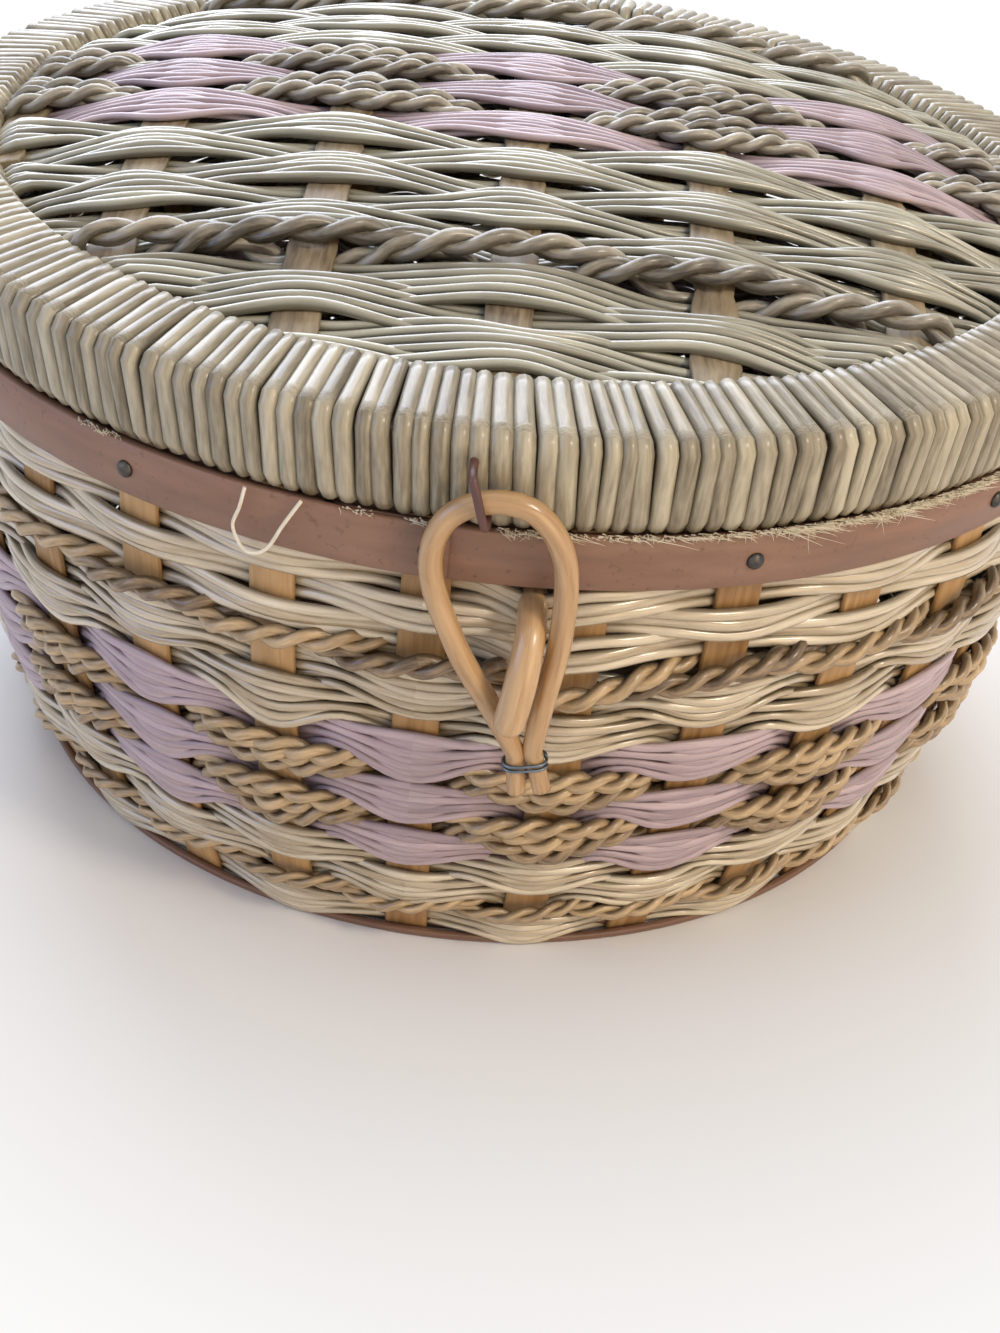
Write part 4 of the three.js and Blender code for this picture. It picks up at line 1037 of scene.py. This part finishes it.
# Dry straw: pale, matt and fibrous.
dry_straw = grain_finish(
    "dry_straw", "#f3ecd9", "#c4b594", streak=6 * MM, lines=4, roughness=0.55, depth=0.05 * MM
)
fibres = []
front_tufts = np.arange(FRAY_START, FRAY_END, FRAY_STEP)
left_tufts = chance.uniform(LEFT_START, FRAY_START, LEFT_TUFTS)
round_tufts = chance.uniform(FRAY_END, ROUND_END, ROUND_TUFTS)
tufts = np.concatenate([front_tufts, left_tufts, round_tufts])
t = np.linspace(0, 1, 5)[:, None]
fibre_thick = FRAY_THICK * (1.15 - t[:, 0])
for place in tufts + chance.normal(0, TUFT_PLAY, len(tufts)):
    fullness = chance.uniform(*(FULL_TUFT if FULL_START < place < FULL_END else THIN_TUFT))
    droop = chance.gamma(*FIBRE_DROOP)
    for _ in range(round(TUFT_FIBRES * fullness)):
        out, side = directions(math.radians(place) + chance.normal(0, TUFT_WIDTH))
        start = out * (FRAY_RADIUS + chance.uniform(*ROOT_OUT))
        start += (0, 0, rim_low.z + chance.uniform(*ROOT_UP))
        length = chance.gamma(4, FIBRE_LENGTH) * fullness
        ahead = out * chance.uniform(*FIBRE_OUT) + side * chance.normal(*FIBRE_SIDE)
        ahead -= (0, 0, chance.uniform(*FIBRE_DOWN))
        curl = side * chance.normal(0, FIBRE_CURL) - (0, 0, droop * chance.uniform(0.2, 1))
        path = start + length * (ahead * t + curl * t**2)
        fibres.append(strand(path, np.broadcast_to(out, path.shape), fibre_thick, sides=4))
lay_piece("frayed_fibres", fibres, dry_straw, "lid", "seagrass")
sliver_shape = [(-18.6, 128.4), (-18.9, 124), (-19.3, 119.5), (-18.1, 115.2)]
sliver_shape += [(-16.5, 116.6), (-15.2, 123), (-14, 128.6)]
sliver_points = []
for degrees, height in sliver_shape:
    out, _ = directions(math.radians(degrees))
    z = height * MM
    sliver_points.append(out * (SLIVER_RADIUS + (rim_low.z - z) * SLIVER_BULGE) + (0, 0, z))
sliver_path = smooth_path(sliver_points, steps=8)
sliver = strand(sliver_path, sliver_path * (1, 1, 0), SLIVER_THICK, flat=SLIVER_FLAT, tone=0.8)
lay_piece("loose_sliver", [sliver], dry_straw, "lid", "seagrass")

# Floor, light and camera
# A plain pale floor under soft studio light, seen from the front and above as the basket was seen.
# The floor and the world are white to the eye, apart from the basket's shadow, and light it plainly.
FLOOR_SIZE = 20.0
FLOOR_ROUGHNESS = 0.9
SHADOW_FROM, SHADOW_TO, NEAR_WHITE = 0.115, 0.26, 0.88
FAR_FROM, FAR_TO, FAR_WHITE = 0.5, 2.5, 0.12
ROOM_LIGHT, ROOM_SEEN = 0.45, 1.0
bpy.ops.mesh.primitive_plane_add(size=FLOOR_SIZE)
floor = bpy.context.object
floor.name = "floor"
# White drawing paper: matt, with no grain that shows at this distance.
paper, tree, shader = new_finish("white_paper", FLOOR_ROUGHNESS)
shader.inputs["Base Color"].default_value = linear("#e8e5e1")
rays = add_node(tree, "ShaderNodeLightPath").outputs
eye_rays = {0: rays["Is Camera Ray"], 1: rays["Is Glossy Ray"]}
seen = add_node(tree, "ShaderNodeMath", eye_rays, operation="MAXIMUM").outputs[0]
spot = add_node(tree, "ShaderNodeTexCoord").outputs["Object"]
away = add_node(tree, "ShaderNodeVectorMath", {0: spot}, operation="LENGTH").outputs["Value"]
near_floor = add_node(
    tree, "ShaderNodeMapRange", {0: away, 1: SHADOW_FROM, 2: SHADOW_TO, 3: 0.0, 4: NEAR_WHITE}
).outputs[0]
far_floor = add_node(
    tree, "ShaderNodeMapRange", {0: away, 1: FAR_FROM, 2: FAR_TO, 3: 0.0, 4: FAR_WHITE}
).outputs[0]
open_floor = add_node(tree, "ShaderNodeMath", {0: near_floor, 1: far_floor}, operation="ADD").outputs[0]
seen = add_node(tree, "ShaderNodeMath", {0: seen, 1: open_floor}, operation="MULTIPLY").outputs[0]
white = add_node(tree, "ShaderNodeEmission", {"Strength": 1.0}).outputs[0]
sheet = add_node(tree, "ShaderNodeMixShader", {0: seen, 1: shader.outputs[0], 2: white}).outputs[0]
tree.links.new(sheet, tree.nodes["Material Output"].inputs["Surface"])
floor.data.materials.append(paper)

world = bpy.data.worlds.new("studio")
world.use_nodes = True
bpy.context.scene.world = world
tree = world.node_tree
sky = tree.nodes["Background"]
sky.inputs["Color"].default_value = linear("#ffffff")
rays = add_node(tree, "ShaderNodeLightPath").outputs
eye_rays = {0: rays["Is Camera Ray"], 1: rays["Is Glossy Ray"]}
seen = add_node(tree, "ShaderNodeMath", eye_rays, operation="MAXIMUM").outputs[0]
glow = add_node(tree, "ShaderNodeMapRange", {0: seen, 3: ROOM_LIGHT, 4: ROOM_SEEN}).outputs[0]
tree.links.new(glow, sky.inputs["Strength"])


def softbox(name, place, target, size, power, colour):
    """A square soft light that faces a point."""
    data = bpy.data.lights.new(name, "AREA")
    data.size = size
    data.energy = power
    data.color = linear(colour)[:3]
    light = bpy.data.objects.new(name, data)
    light.location = place
    light.rotation_euler = (Vector(target) - Vector(place)).to_track_quat("-Z", "Y").to_euler()
    bpy.context.scene.collection.objects.link(light)


softbox("back_sky", (-0.4, 1.5, 1.1), target=(0, 0, 0.12), size=1.6, power=50, colour="#e4ecff")
softbox("cool_left", (-1.3, -0.6, 0.7), target=(0, 0, 0.1), size=0.8, power=5.5, colour="#a4c0ff")
softbox("warm_front", (0.9, -1.3, 0.4), target=(0, 0, 0.05), size=0.8, power=5.4, colour="#ffd8a8")
softbox("front_key", (0.85, -0.75, 1.2), target=(0, 0, 0.08), size=0.3, power=9.5, colour="#fff0dc")

PHOTO_WIDTH, PHOTO_HEIGHT = 1000, 1333
FOCAL_PIXELS = 2000
SENSOR = 36.0
TILT, YAW, ROLL = (math.radians(a) for a in (34.1, -1.0, 6.7))
EYE = np.array([0, -480, 322.5]) * MM
turns = Matrix.Rotation(ROLL, 3, "Z") @ Matrix.Rotation(TILT, 3, "X") @ Matrix.Rotation(YAW, 3, "Y")
right, down, ahead = turns @ Matrix(((1, 0, 0), (0, 0, -1), (0, 1, 0)))
camera_data = bpy.data.cameras.new("camera")
camera_data.sensor_width = SENSOR
camera_data.lens = FOCAL_PIXELS / max(PHOTO_WIDTH, PHOTO_HEIGHT) * SENSOR
camera = bpy.data.objects.new("camera", camera_data)
camera.matrix_world = Matrix.Translation(EYE) @ Matrix((right, -down, -ahead)).transposed().to_4x4()
bpy.context.scene.collection.objects.link(camera)
bpy.context.scene.camera = camera
bpy.context.scene.view_settings.view_transform = "Standard"
